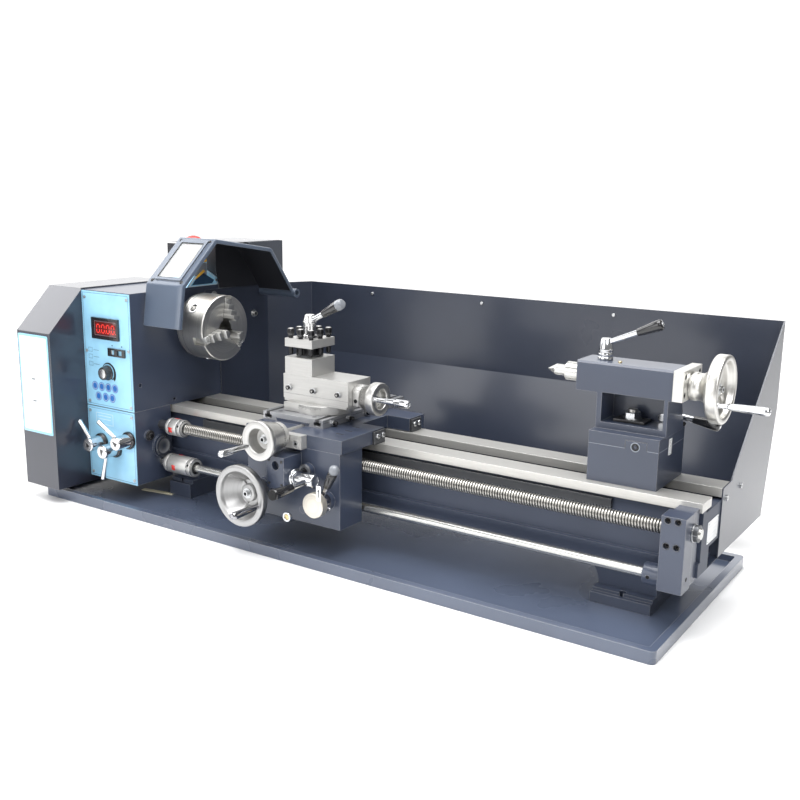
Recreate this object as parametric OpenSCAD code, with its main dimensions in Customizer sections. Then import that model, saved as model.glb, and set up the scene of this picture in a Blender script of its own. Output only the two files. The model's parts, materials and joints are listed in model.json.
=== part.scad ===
// Bench metal lathe with chip tray, splash guard, three-jaw chuck, carriage, compound slide and tailstock.
// Frame: +X from headstock to tailstock, +Y from the operator to the splash guard, +Z up.
// Origin: middle of the underside of the chip tray. All sizes are millimetres.

/* [Chip tray] */
// Length of the chip tray
tray_length = 1236.8; // [1220:0.4:1260]
// Depth of the chip tray, front to back
tray_depth = 422; // [410:1:440]
// Height of the tray's box rim
tray_rim_height = 19; // [17:1:24]
// Height of the tray's floor
tray_floor_top = 8; // [7:0.5:9]

/* [Bed and centre line] */
// Height of the ground rail tops
rail_top = 183.1; // [183.1]
// Height of the spindle centre line, half the swing above the rails
centre_height = 150; // [150]
// Half width of the bed over the rails
bed_half_width = 65.5; // [64:0.5:67]
// Inner edge of each rail
rail_inner = 24.3; // [22:0.1:26]
// Right end of the bed
bed_right = 622.8; // [621:0.2:624]

/* [Headstock] */
// Left face of the headstock
head_left = -541; // [-541]
// Right face of the headstock
head_right = -410.8; // [-410.8]
// Front face of the headstock
head_front = -160; // [-160]
// Rear face of the headstock
head_rear = 69; // [69]
// Top of the headstock
head_top = 405.4; // [400:0.2:406]

/* [Spindle and chuck] */
// Radius of the hole through the spindle
spindle_bore_r = 19; // [15:1:20]
// Radius of the chuck
chuck_r = 62.7; // [61:0.1:64]
// Front face of the chuck
chuck_face = -328.4; // [-328.4]
// Angle of the first jaw, from +Y towards +Z
first_jaw_angle = 80; // [0:1:119]

/* [Shafts] */
// Radius of the leadscrew
leadscrew_r = 9; // [8:0.5:9]
// Radius of the feed rod
feed_rod_r = 7.5; // [6:0.5:8]

/* [Gears] */
// Gear module
gear_module = 2; // [2]
// Teeth on the spindle gear
spindle_teeth = 30; // [30]
// Teeth on the idler gear
idler_teeth = 72; // [72]
// Teeth on the leadscrew's driven gear
screw_teeth = 40; // [40]

/* [Handwheels] */
// Radius of the carriage handwheel
carriage_wheel_r = 52; // [48:1:54]
// Radius of the cross slide handwheel
cross_wheel_r = 33; // [30:1:34]
// Radius of the compound handwheel
compound_wheel_r = 28; // [25:1:29]
// Radius of the tailstock handwheel
tailstock_wheel_r = 49.5; // [46:0.5:51]

/* [Tool post] */
// Width of the tool post block along X
post_x = 59; // [57:1:60]
// Width of the tool post block along Y
post_y = 63; // [60:1:63]

/* [Fits] */
// Radial clearance of a running fit
run_fit = 0.05; // [0.02:0.01:0.1]
// Gap between two sliding faces
slide_gap = 0.1; // [0.05:0.05:0.2]
// Thickness of the sheet steel
sheet = 2; // [1.5:0.5:2]

/* [Hidden] */
$fn = 48;
eps = 1;
axis_z = rail_top + centre_height;
screw_y = -95;
screw_z = 150;
feed_z = 77.8;
panel_t = 1.5;
panel_front = head_front - panel_t;
deck = 184.6;
saddle_top = 207.5;
cross_top = 222;
compound_x = -48;
compound_y = -52;
slide_y = -58;
post_cx = -74.5;
post_cy = -58.5;
post_floor = 285;
apron_front = -166;
cross_wheel_x = -40;
cross_wheel_z = 204.5;
carriage_wheel_x = -84;
carriage_wheel_z = 104;
half_nut_lift = 4.2;
hinge_y = 193;
hinge_z = 384;
guard_left = -406;
guard_right = -314;
gear_x0 = -575;
gear_x1 = -563;
pulley_x0 = -612;
pulley_x1 = -592;
spindle_pulley_r = 55;
motor_pulley_r = 24;
motor_y = 120;
motor_z = 130;
stud_r = 6;
knob_x = -477;
knob_z = 253;
stop_x = -428;
stop_y = 22;
// Places of the tool clamping bolts, from the middle of the tool post
post_bolts = [[-22, -24], [0, -25], [22, -24], [23, 0], [22, 24], [0, 25], [-22, 24], [-23, 0]];

// ---------- general shapes ----------
// Box between two X, two Y and two Z values
module box(x0, x1, y0, y1, z0, z1) { translate([x0, y0, z0]) cube([x1 - x0, y1 - y0, z1 - z0]); }
module rod_x(x0, x1, y, z, r) { translate([x0, y, z]) rotate([0, 90, 0]) cylinder(h = x1 - x0, r = r); }
module rod_y(y0, y1, x, z, r) { translate([x, y0, z]) rotate([-90, 0, 0]) cylinder(h = y1 - y0, r = r); }
module rod_z(z0, z1, x, y, r) { translate([x, y, z0]) cylinder(h = z1 - z0, r = r); }
// Sleeve along X that fits over a bar with a running fit
module sleeve_x(x0, x1, y, z, r, bar_r) {
    difference() {
        rod_x(x0, x1, y, z, r);
        rod_x(x0 - 1, x1 + 1, y, z, bar_r + run_fit);
    }
}
// Outline in Y, Z pushed along X; outline in X, Z pushed along Y
module along_x(x0, x1) { translate([x0, 0, 0]) rotate([90, 0, 90]) linear_extrude(x1 - x0) children(); }
module along_y(y0, y1) { translate([0, y1, 0]) rotate([90, 0, 0]) linear_extrude(y1 - y0) children(); }
// Outline of [radius, height] points turned about an axis
module turned_x(y, z, points) { translate([0, y, z]) rotate([0, 90, 0]) rotate_extrude($fn = 96) polygon(points); }
module turned_y(x, z, points) { translate([x, 0, z]) rotate([-90, 0, 0]) rotate_extrude($fn = 96) polygon(points); }
module turned_z(x, y, points) { translate([x, y, 0]) rotate_extrude($fn = 96) polygon(points); }
// Round bar, or cone, from point p to point q
module bar(p, q, r1, r2) {
    d = q - p;
    translate(p) rotate([0, acos(d[2] / norm(d)), atan2(d[1], d[0])]) cylinder(h = norm(d), r1 = r1, r2 = r2);
}
// Point at fraction t of the way from p to q
function between(p, q, t) = p + (q - p) * t;
// Points of an arc, from angle a0 to a1
function arc(cx, cy, r, a0, a1, n) = [for (i = [0 : n]) let (a = a0 + (a1 - a0) * i / n)
    [cx + r * cos(a), cy + r * sin(a)]];
// A bent sheet: the outline that a path makes when it is t thick to its left
function unit(v) = v / norm(v);
function left_of(a, b) = let (d = unit(b - a)) [-d[1], d[0]];
function shifted(p, i, t) = i == 0 ? p[0] + t * left_of(p[0], p[1])
    : i == len(p) - 1 ? p[i] + t * left_of(p[i - 1], p[i])
    : let (m = left_of(p[i - 1], p[i]) + left_of(p[i], p[i + 1])) p[i] + t * m * 2 / (m * m);
module strip(path, t) { polygon(concat(path, [for (i = [len(path) - 1 : -1 : 0]) shifted(path, i, t)])); }
// Rounded rectangle, centred
module rounded(w, d, r) {
    square([w - 2 * r, d], center = true);
    square([w, d - 2 * r], center = true);
    for (sx = [-1, 1], sy = [-1, 1]) translate([sx * (w / 2 - r), sy * (d / 2 - r)]) circle(r);
}
// Gear outline with tapered teeth; phase is the angle of one tooth
function gear_points(n, phase) = let (r = gear_module * n / 2, step = 360 / n)
    [for (i = [0 : n - 1], k = [0 : 3]) let (
        radius = (k == 0 || k == 3) ? r - 1.2 * gear_module : r + 0.85 * gear_module,
        turn = (k == 0 ? -0.31 : k == 1 ? -0.1 : k == 2 ? 0.1 : 0.31) * step)
        radius * [cos(phase + i * step + turn), sin(phase + i * step + turn)]];
// Phase of gear b in mesh with gear a, which lies in direction dir from a
function mesh_phase(phase_a, n_a, dir, n_b) =
    dir + 180 + n_a / n_b * ((dir - phase_a) % (360 / n_a)) + 180 / n_b;
module gear(x0, x1, y, z, n, phase) {
    translate([0, y, z]) along_x(x0, x1) polygon(gear_points(n, phase));
}
// Hexagon socket screw with its head in direction +Z at the origin
module socket_head(r, h) {
    difference() {
        cylinder(h = h, r = r);
        translate([0, 0, h * 0.4]) cylinder(h = h, r = r * 0.5, $fn = 6);
    }
}
// Screws in rows: heads standing proud of a face that looks along -Y
module screw_front(x, z, y, r, h) { translate([x, y, z]) rotate([90, 0, 0]) socket_head(r, h); }
module screw_right(y, z, x, r, h) { translate([x, y, z]) rotate([0, 90, 0]) socket_head(r, h); }

// ---------- tray, bed and frame ----------
rim_width = 12;
foot_bolt_x = [-380, 518];
foot_bolt_y = 70;
foot_bolt_r = 5.5;
module foot_bolt_holes() {
    for (x = foot_bolt_x, y = [-foot_bolt_y, foot_bolt_y]) rod_z(-eps, 60, x, y, foot_bolt_r);
}
module tray() {
    color([0.30, 0.33, 0.38]) difference() {
        union() {
            difference() {
                linear_extrude(tray_rim_height) rounded(tray_length, tray_depth, 8);
                translate([0, 0, -eps]) linear_extrude(tray_floor_top - 3 + eps)
                    rounded(tray_length - 2 * sheet, tray_depth - 2 * sheet, 6);
                translate([0, 0, tray_floor_top]) linear_extrude(tray_rim_height)
                    rounded(tray_length - 2 * rim_width, tray_depth - 2 * rim_width, 4);
            }
            for (x = [foot_bolt_x[0], 0, foot_bolt_x[1]])
                box(x - 45, x + 45, -tray_depth / 2 + sheet, tray_depth / 2 - sheet, 0, tray_floor_top - 3);
        }
        foot_bolt_holes();
    }
}

web_front = 58;
web_rear = 46;
flange_low = 74;
flange_high = 95;
// Side outline of one bed web, with a pillar down to each foot
web_outline = concat(
    [[-536, flange_low]], arc(-421, 60, 14, 90, 0, 6), [[-407, 42], [-352, 42]],
    arc(-338, 60, 14, 180, 90, 6), arc(430, 29, 45, 90, 0, 12), [[565, 29]],
    arc(585, 54, 20, 180, 90, 6), [[bed_right, flange_low], [bed_right, 170], [-536, 170]]);
module bed() {
    color([0.22, 0.25, 0.30]) {
        difference() {
            union() {
                for (side = [-1, 1]) {
                    inner = side < 0 ? -web_front : web_rear;
                    along_y(inner, inner + web_front - web_rear) polygon(web_outline);
                    rail = side < 0 ? -bed_half_width : rail_inner;
                    box(-536, bed_right, rail, rail + bed_half_width - rail_inner, 169.3, rail_top);
                    lip = side < 0 ? -bed_half_width : web_front;
                    box(-536, bed_right, lip, lip + bed_half_width - web_front, flange_low, flange_high);
                }
                for (x = [-536, -400, -220, -40, 140, 320, 500]) box(x, x + 12, -web_rear, web_rear, flange_low, 148);
                box(bed_right - 12, bed_right, -web_rear, web_rear, flange_low, 165);
                box(-407, -352, -web_rear, web_rear, 42, 54);
                box(475, 565, -web_rear, web_rear, 29, 41);
            }
            box(bed_right - 20, bed_right + eps, -21, 32, 75, 108);
        }
    }
}
module bed_feet() {
    color([0.20, 0.23, 0.28]) difference() {
        union() {
            box(472, 565, -83, 83, tray_floor_top, 24);
            box(472, 565, -75, 75, 24, 29);
            box(-407, -352, -83, 83, tray_floor_top, 36);
            box(-407, -352, -75, 75, 36, 42);
        }
        foot_bolt_holes();
    }
}
rack_pitch = 4.71;
rack_left = -330;
rack_teeth = 174;
module rack() {
    color([0.35, 0.36, 0.38]) along_y(-65, -web_front) polygon(concat(
        [[rack_left + rack_teeth * rack_pitch, 165], [rack_left, 165]],
        [for (i = [0 : rack_teeth - 1], k = [0 : 3])
            [rack_left + (i + [0, 0.2, 0.5, 0.7][k]) * rack_pitch, [149, 152.4, 152.4, 149][k]]],
        [[rack_left + rack_teeth * rack_pitch, 149]]));
}
module end_bracket() {
    color([0.28, 0.31, 0.37]) difference() {
        union() {
            box(587, 621.5, -130, -96, 70, 178);
            box(590, 619, -96, -bed_half_width, 70, 176);
        }
        rod_x(586, 623, screw_y, screw_z, leadscrew_r + run_fit);
        rod_x(586, 610, screw_y, feed_z, feed_rod_r + run_fit);
        for (x = [596, 610], z = [136, 172]) rod_y(-131, -124, x, z, 4.2);
    }
}
module splash_guard() {
    top = 397;
    bend = 251;
    low = 75;
    rear = 305;
    rear_low = 262;
    left = -362;
    wing_x = head_right + sheet;
    color([0.30, 0.34, 0.42]) {
        intersection() {
            along_x(wing_x, bed_right + sheet) strip([[rear_low, low], [rear, bend], [rear, top]], -sheet);
            translate([0, 0, low - eps]) linear_extrude(top) polygon([[wing_x - sheet, 215], [left - sheet, rear],
                [left - sheet, rear + 5], [bed_right + 5, rear + 5], [bed_right + 5, 215]]);
        }
        along_x(bed_right, bed_right + sheet)
            polygon([[24, 78], [24, 183.1], [66, 185], [rear, top], [rear, bend], [rear_low, low]]);
        intersection() {
            translate([0, 0, low]) linear_extrude(top - low)
                strip([[wing_x, head_rear], [wing_x, 215], [left, rear]], sheet);
            along_x(head_right - 5, left + 5)
                polygon([[head_rear, low], [head_rear, top], [rear + 1, top], [rear + 1, bend], [rear_low + 1, low]]);
        }
        box(head_right, wing_x, 30, head_rear + eps, 320, top);
        rod_x(wing_x - 1, guard_right - 6, hinge_y, hinge_z, 5);
    }
}

// ---------- headstock ----------
bearing_r = 40;
spindle_r = 30;
tail_r = 25;
module headstock() {
    wall = 12;
    floor_z = rail_top;
    color([0.24, 0.27, 0.33]) difference() {
        union() {
            difference() {
                box(head_left, head_right, head_front, head_rear, deck, head_top);
                box(head_left + wall, head_right - wall, head_front + wall, head_rear - wall,
                    deck + wall, head_top - 8);
            }
            box(head_left + 5, head_right, -bed_half_width, bed_half_width, floor_z, deck + wall);
            rod_x(head_left + wall - 1, head_left + wall + 14, 0, axis_z, bearing_r + 12);
            rod_x(head_right - wall - 14, head_right - wall + 1, 0, axis_z, bearing_r + 12);
        }
        rod_x(head_left - eps, head_right + eps, 0, axis_z, spindle_r + 4);
        rod_x(head_left + 6, head_left + wall + 15, 0, axis_z, bearing_r);
        rod_x(head_right - wall - 15, head_right - 6, 0, axis_z, bearing_r);
        rod_x(head_right - 6, head_right + eps, -143.9, 233.8, 4);
        box(head_right - 5, head_right + eps, -64, -56, 191, 196);
    }
    color([0.55, 0.56, 0.58]) rod_x(gear_x0 - 9, head_left, idler_y, idler_z, stud_r);
}
module spindle_bearings() {
    color([0.75, 0.76, 0.78]) for (x = [head_left + 6, head_right - 26]) difference() {
        rod_x(x, x + 20, 0, axis_z, bearing_r);
        rod_x(x - eps, x + 21, 0, axis_z, spindle_r + run_fit);
    }
}
module gearbox() {
    color([0.24, 0.27, 0.33]) difference() {
        union() {
            box(head_left, head_right, head_front, -70.4, 42.9, deck);
            rod_x(head_right, head_right + 4, -129.8, 135.8, 9.5);
            rod_x(head_right, head_right + 4, -98.4, 109.4, 22);
        }
        box(head_left + 12, head_right - 12, head_front + 10, -72 - 6, 52, deck - 10);
        rod_x(head_left - eps, head_right + 6, screw_y, screw_z, leadscrew_r + run_fit);
        rod_x(head_left + 6, head_right + 6, screw_y, feed_z, feed_rod_r + run_fit);
        rod_x(head_right + 1, head_right + 6, -129.8, 135.8, 5);
    }
}
cover_outline = [[-239.1, 30], [160, 30], [160, 329], [57, 407.2], [-159.5, 407.2], [-239.1, 329]];
cover_inside = [[-237.1, 32], [158, 32], [158, 328], [56.4, 405.2], [-158.6, 405.2], [-237.1, 328]];
module gear_cover() {
    color([0.36, 0.38, 0.44]) difference() {
        along_x(-635.4, head_left) polygon(cover_outline);
        along_x(-633.4, head_left - sheet) polygon(cover_inside);
        box(head_left - 3, head_left + eps, head_front + 8, head_rear - 8, 52, head_top - 10);
        box(head_left - 3, head_left + eps, head_rear - 10, 150, 74, 200);
        rod_x(-637, -630, 0, axis_z, spindle_bore_r + 6);
    }
}
module front_panels() {
    color([0.62, 0.80, 0.90]) {
        difference() {
            box(head_left, head_right, panel_front, head_front, 185, 404);
            rod_y(panel_front - eps, head_front + eps, knob_x, knob_z, 5);
        }
        box(head_left, head_right, panel_front, head_front, 42.9, 183);
    }
}
module speed_display() {
    color([0.10, 0.10, 0.11]) {
        difference() {
            box(-513, -440, panel_front - 4, panel_front, 316, 356);
            box(-508, -445, panel_front - 5, panel_front - 1.5, 321, 351);
        }
        difference() {
            box(-472, -426, panel_front - 3, panel_front, 286, 301);
            box(-464, -434, panel_front - 4, panel_front + eps, 289, 298);
        }
    }
}
console_right = head_right - 0.2;
module console() {
    color([0.66, 0.76, 0.82]) difference() {
        union() {
            along_x(-480, console_right) polygon([[-16, head_top], [68, head_top], [75, 415], [29, 442], [8, 430]]);
            box(stop_x - 17, console_right, stop_y - 17, stop_y + 17, 425, 468);
        }
        rod_z(450, 469, stop_x, stop_y, 8 + run_fit);
    }
}
module electrical_box() {
    color([0.28, 0.31, 0.38]) {
        difference() {
            box(-553, -413, 164, 270, 190, 484);
            box(-551, -415, 166, 268, 192, 482);
        }
        for (z = [210, 390]) box(-535, -415, head_rear, 164, z, z + 3);
    }
}
module motor() {
    color([0.22, 0.24, 0.28]) {
        rod_x(-536, -418, motor_y, motor_z, 46);
        for (a = [0 : 30 : 359]) translate([0, motor_y, motor_z]) rotate([a, 0, 0])
            box(-528, -430, -1.5, 1.5, 45, 49);
        box(-520, -440, web_front, motor_y - 20, motor_z - 12, motor_z + 12);
    }
}

// ---------- fasteners ----------
module fasteners() {
    color([0.70, 0.71, 0.73]) {
        for (p = [[-532, 392], [-417, 394], [-533, 290], [-417, 299], [-532, 193], [-417, 193],
                  [-533, 174], [-417, 174], [-533, 52], [-417, 52]])
            screw_front(p[0], p[1], panel_front, 3, 1.5);
        screw_right(54.3, 385, head_right + sheet, 5, 5);
        screw_right(170.4, 337.3, head_right + sheet, 5, 5);
        for (y = [40, 115]) screw_right(y, 165, bed_right + sheet, 4, 3);
    }
}

// ---------- drive train ----------
idler_a = gear_module * (spindle_teeth + idler_teeth) / 2;
idler_b = gear_module * (screw_teeth + idler_teeth) / 2;
train = [screw_y, screw_z - axis_z];
train_d = norm(train);
train_along = (idler_a * idler_a - idler_b * idler_b + train_d * train_d) / (2 * train_d);
train_across = sqrt(idler_a * idler_a - train_along * train_along);
idler_y = (train[0] * train_along + train[1] * train_across) / train_d;
idler_z = axis_z + (train[1] * train_along - train[0] * train_across) / train_d;
spindle_phase = atan2(idler_z - axis_z, idler_y);
idler_phase = mesh_phase(spindle_phase, spindle_teeth, spindle_phase, idler_teeth);
screw_dir = atan2(screw_z - idler_z, screw_y - idler_y);
screw_phase = mesh_phase(idler_phase, idler_teeth, screw_dir, screw_teeth);
// Flat belt pulley with a flange on each side
module grooved_wheel(y, z, r) {
    turned_x(y, z, [[0, pulley_x0 - 4], [r + 5, pulley_x0 - 4], [r + 5, pulley_x0 - 1], [r, pulley_x0 - 1],
        [r, pulley_x1 + 1], [r + 5, pulley_x1 + 1], [r + 5, pulley_x1 + 4], [0, pulley_x1 + 4]]);
}
module spindle() {
    color([0.72, 0.73, 0.75]) difference() {
        union() {
            turned_x(0, axis_z, [[0, -624], [tail_r, -624], [tail_r, head_left], [spindle_r, head_left],
                [spindle_r, -408], [46, -408], [46, -396], [0, -396]]);
            gear(gear_x0, gear_x1, 0, axis_z, spindle_teeth, spindle_phase);
            grooved_wheel(0, axis_z, spindle_pulley_r);
        }
        rod_x(-626, -394, 0, axis_z, spindle_bore_r);
    }
}
module motor_pulley() {
    color([0.68, 0.69, 0.71]) {
        grooved_wheel(motor_y, motor_z, motor_pulley_r);
        rod_x(pulley_x0, -536.2, motor_y, motor_z, 9);
    }
}
// The belt follows both pulleys and the two straight runs between them
belt_dir = atan2(motor_z - axis_z, motor_y);
belt_run = norm([motor_y, motor_z - axis_z]);
belt_lap = acos((spindle_pulley_r - motor_pulley_r) / belt_run);
function belt_path(grow) = concat(
    arc(0, axis_z, spindle_pulley_r + grow, belt_dir + belt_lap, belt_dir + 360 - belt_lap, 36),
    arc(motor_y, motor_z, motor_pulley_r + grow, belt_dir - belt_lap, belt_dir + belt_lap, 24));
module drive_belt() {
    color([0.08, 0.08, 0.08]) along_x(pulley_x0, pulley_x1) difference() {
        polygon(belt_path(4));
        polygon(belt_path(0.4));
    }
}
module idler_gear() {
    color([0.60, 0.61, 0.63]) difference() {
        union() {
            gear(gear_x0, gear_x1, idler_y, idler_z, idler_teeth, idler_phase);
            rod_x(gear_x0 - 6, head_left - 0.4, idler_y, idler_z, 14);
        }
        rod_x(gear_x0 - 7, head_left, idler_y, idler_z, stud_r + run_fit);
    }
}
module leadscrew() {
    color([0.70, 0.71, 0.73]) {
        rod_x(gear_x0 - 8, -367, screw_y, screw_z, leadscrew_r);
        gear(gear_x0, gear_x1, screw_y, screw_z, screw_teeth, screw_phase);
        rod_x(-366, 630, screw_y, screw_z, leadscrew_r);
        sleeve_x(-387, -346, screw_y, screw_z, 16, leadscrew_r);
        sleeve_x(622, 630, screw_y, screw_z, 12, leadscrew_r);
    }
}
module feed_rod() {
    color([0.74, 0.75, 0.77]) {
        rod_x(-528, -361, screw_y, feed_z, feed_rod_r);
        rod_x(-360, 609.5, screw_y, feed_z, feed_rod_r);
        sleeve_x(-393, -322, screw_y, feed_z, 17.5, feed_rod_r);
        sleeve_x(558, 576, screw_y, feed_z, 15.5, feed_rod_r);
    }
}

// ---------- chuck ----------
slot_w = 16;
slot_floor = chuck_face - 26;
scroll_x0 = -374;
scroll_x1 = slot_floor - 0.3;
module chuck_body() {
    color([0.72, 0.72, 0.71]) difference() {
        turned_x(0, axis_z, [[0, -396], [60, -396], [60, -387], [chuck_r - 0.7, -387], [chuck_r - 0.7, -385],
            [chuck_r, -384], [chuck_r, chuck_face - 1.5], [chuck_r - 1.5, chuck_face], [0, chuck_face]]);
        rod_x(-398, chuck_face + eps, 0, axis_z, 16);
        difference() {
            rod_x(scroll_x0 - slide_gap, slot_floor + 0.01, 0, axis_z, 52);
            rod_x(scroll_x0 - eps, slot_floor + eps, 0, axis_z, 22);
        }
        for (k = [0 : 2]) translate([0, 0, axis_z]) rotate([first_jaw_angle + 120 * k, 0, 0])
            box(slot_floor, chuck_face + eps, 0, chuck_r + 5, -slot_w / 2, slot_w / 2);
        for (k = [0 : 2]) translate([0, 0, axis_z]) rotate([first_jaw_angle + 60 + 120 * k, 0, 0])
            rod_y(54, chuck_r + 2, -362, 0, 6);
    }
}
module chuck_scroll() {
    color([0.45, 0.46, 0.48]) difference() {
        rod_x(scroll_x0, scroll_x1, 0, axis_z, 52 - run_fit);
        rod_x(scroll_x0 - eps, scroll_x1 + eps, 0, axis_z, 22 + run_fit);
    }
}
// Steps of a jaw: [inner radius, outer radius, how far it stands out of the chuck's face]
jaw_steps = [[15, 56, -1], [15, 26, 26], [25, 36, 18], [35, 46, 10]];
module jaw(k) {
    half = slot_w / 2 - run_fit;
    color([0.66, 0.66, 0.66]) translate([0, 0, axis_z]) rotate([first_jaw_angle + 120 * k, 0, 0])
        union() for (s = jaw_steps) box(slot_floor + slide_gap, chuck_face + s[2], s[0], s[1], -half, half);
}
module jaw_1() { jaw(0); }
module jaw_2() { jaw(1); }
module jaw_3() { jaw(2); }

// ---------- carriage ----------
module dovetail_x(x, low, high, half, z_gap) {
    polygon([[x - half, low], [x - half - (high - low) * 0.5, high + z_gap],
        [x + half + (high - low) * 0.5, high + z_gap], [x + half, low]]);
}
module saddle() {
    color([0.26, 0.30, 0.36]) difference() {
        union() {
            box(-127, 30, -166, 75, deck, saddle_top);
            box(-127, 75, -166, -48, deck, saddle_top);
            box(-127, 77, 28, 75, deck, saddle_top);
            box(-127, 77, bed_half_width + slide_gap, 75, 158, deck);
            box(-127, 77, 60, 75, 158, 169.3 - slide_gap);
            along_y(-122, 75) dovetail_x(-62, saddle_top - 0.01, saddle_top + 6, 34, 0);
        }
        rod_y(-168, 60, cross_wheel_x, cross_wheel_z, 6.5);
    }
}
module apron() {
    color([0.26, 0.30, 0.36]) difference() {
        union() {
            box(-124, 72, apron_front, -106, 57, deck);
            box(-43, -7, -211, apron_front, 122, 176);
            rod_y(-176, apron_front, 8.6, 148.8, 12);
            rod_y(-170, apron_front, -2.7, 79.6, 6.5);
            rod_y(-176, apron_front, carriage_wheel_x, carriage_wheel_z, 17);
            rod_y(-176, apron_front, 47, 105, 15);
        }
        box(-116, 64, apron_front + 8, -106 + eps, 65, deck - 8);
        rod_y(-212, -200, -25, 161, 7.4);
        rod_y(-178, -150, carriage_wheel_x, carriage_wheel_z, 8 + run_fit);
        rod_y(-178, -150, 47, 105, 7 + run_fit);
        rod_x(-30, -6, -188, 140, 6 + run_fit);
        rod_y(-177, -171, 8.6, 148.8, 6);
    }
}
module cross_screw_bracket() {
    color([0.80, 0.80, 0.79]) difference() {
        union() {
            box(-84, 4, -180, apron_front, deck + 0.4, saddle_top);
            rod_y(-190, -180, cross_wheel_x, cross_wheel_z, 19);
        }
        rod_y(-192, apron_front + eps, cross_wheel_x, cross_wheel_z, 6.5 + run_fit);
        for (x = [-72, -8]) rod_y(-182, -174, x, 193, 5);
    }
}
module way_wipers() {
    color([0.78, 0.66, 0.36]) {
        difference() {
            box(75, 79, -80, -50, rail_top + 0.3, saddle_top - 2);
            box(74, 80, -bed_half_width - eps, -49, rail_top - eps, rail_top + 0.3);
        }
        for (y = [-72, -57]) rod_x(79, 82, y, 197, 4);
        box(77, 81, 30, 60, rail_top + 0.3, saddle_top - 2);
        for (y = [38, 52]) rod_x(81, 84, y, 197, 4);
    }
}
module carriage_handwheel() {
    r = carriage_wheel_r;
    color([0.82, 0.81, 0.78]) {
        turned_y(carriage_wheel_x, carriage_wheel_z, [[0, -228], [9, -228], [9, -216], [r - 14, -224],
            [r - 12, -235], [r - 2, -235], [r, -233], [r, -223], [r - 4, -219], [r - 12, -216], [20, -202],
            [13, -196], [13, -176.4], [8, -176.4], [8, -151], [0, -151]]);
        rod_y(-240, -222, -43, 94, 4.5);
        rod_y(-296, -240, -43, 94, 6.2);
    }
}
module feed_lever() {
    color([0.72, 0.73, 0.75]) {
        rod_x(-28, -6.8, -188, 140, 6);
        rod_x(-6.8, 40, -188, 140, 11.5);
        bar([28, -196, 139], [24, -232, 134], 4.5, 4.5);
        bar([24, -230, 134.2], [19, -278, 128.6], 6, 8.5);
    }
}
half_nut_ball = [77, -190, 166];
module half_nut_lever() {
    root = [52, -197, 115];
    color([0.75, 0.75, 0.76]) {
        rod_y(-206, -176.4, 47, 105, 20);
        rod_y(-177, -151, 47, 105, 7);
        bar(root, between(root, half_nut_ball, 0.5), 4.5, 4.5);
        bar(between(root, half_nut_ball, 0.45), between(root, half_nut_ball, 0.9), 6, 8);
        translate(half_nut_ball) sphere(9);
    }
}
module half_nut() {
    color([0.72, 0.58, 0.30]) difference() {
        box(-50, 30, -114, -80, 122, screw_z - half_nut_lift);
        rod_x(-51, 31, screw_y, screw_z - half_nut_lift, leadscrew_r + slide_gap);
    }
}
module cross_handwheel() {
    r = cross_wheel_r;
    color([0.83, 0.82, 0.79]) {
        turned_y(cross_wheel_x, cross_wheel_z, [[0, -226], [8, -226], [8, -218], [20, -218], [22, -236],
            [r - 1, -236], [r, -235], [r, -226], [27, -224], [25, -212], [19, -192], [19, -190.3],
            [6, -190.3], [6, 55], [0, 55]]);
        rod_y(-240, -224, -61, 193.5, 4);
        rod_y(-300, -240, -61, 193.5, 5.5);
    }
}
module cross_slide() {
    low = saddle_top + slide_gap;
    color([0.66, 0.67, 0.69]) difference() {
        box(-127, 3, -122, 120, low, cross_top);
        along_y(-123, 121) dovetail_x(-62, low - eps, saddle_top + 6, 34 + 0.15, slide_gap);
        for (x = [-116, -9]) {
            box(x - 4, x + 4, -123, 121, 217, cross_top + eps);
            box(x - 7.5, x + 7.5, -123, 121, 211, 217);
        }
    }
    color([0.70, 0.70, 0.70]) for (y = [-96, -50, 0, 50]) rod_x(3, 12, y, 213.5, 3.4);
}
module compound_base() {
    color([0.70, 0.71, 0.72]) {
        rod_z(cross_top + slide_gap, 238, compound_x, compound_y, 51);
        box(-106, 28, slide_y - 32, slide_y + 32, 238, 242.4);
        along_x(-106, 28) dovetail_x(slide_y, 242.3, 251.5, 16, 0);
    }
}
module top_slide() {
    low = 242.5;
    color([0.72, 0.72, 0.71]) {
        difference() {
            union() {
                box(-108, 31, slide_y - 32, slide_y + 32, low, post_floor);
                box(31, 45, -76, -44, 243, 271);
            }
            along_x(-109, 32) dovetail_x(slide_y, low - eps, 251.5, 16.15, slide_gap);
            rod_x(-70, 46, -60, 257, 4.5 + run_fit);
        }
        rod_z(post_floor, 360, post_cx, post_cy, 8);
        for (x = [-94, -41, 12]) rod_y(slide_y - 39, slide_y - 32, x, 262, 3.6);
    }
}
module compound_handwheel() {
    r = compound_wheel_r;
    color([0.82, 0.81, 0.79]) {
        turned_x(-60, 257, [[0, 45.3], [20, 45.3], [22, 49], [r - 3, 60], [r, 63], [r, 77], [r - 1, 78],
            [r - 9, 78], [r - 10, 66], [7, 66], [7, 70], [0, 70]]);
        rod_x(-65, 50, -60, 257, 4.5);
        rod_x(66, 84, -80, 261, 4.2);
        rod_x(84, 120, -80, 261, 5.2);
        rod_x(120, 147, -80, 261, 6.4);
    }
}
module tool_post() {
    color([0.78, 0.78, 0.77]) difference() {
        union() {
            box(post_cx - post_x / 2, post_cx + post_x / 2, post_cy - post_y / 2, post_cy + post_y / 2,
                post_floor + slide_gap, 315);
            box(post_cx - 16, post_cx + 16, post_cy - 16, post_cy + 16, 315, 332.7);
            box(post_cx - post_x / 2, post_cx + post_x / 2, post_cy - post_y / 2, post_cy + post_y / 2, 332.7, 347);
        }
        rod_z(post_floor - eps, 350, post_cx, post_cy, 8 + run_fit);
        for (p = post_bolts) rod_z(330, 350, post_cx + p[0], post_cy + p[1], 4);
    }
}
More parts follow.
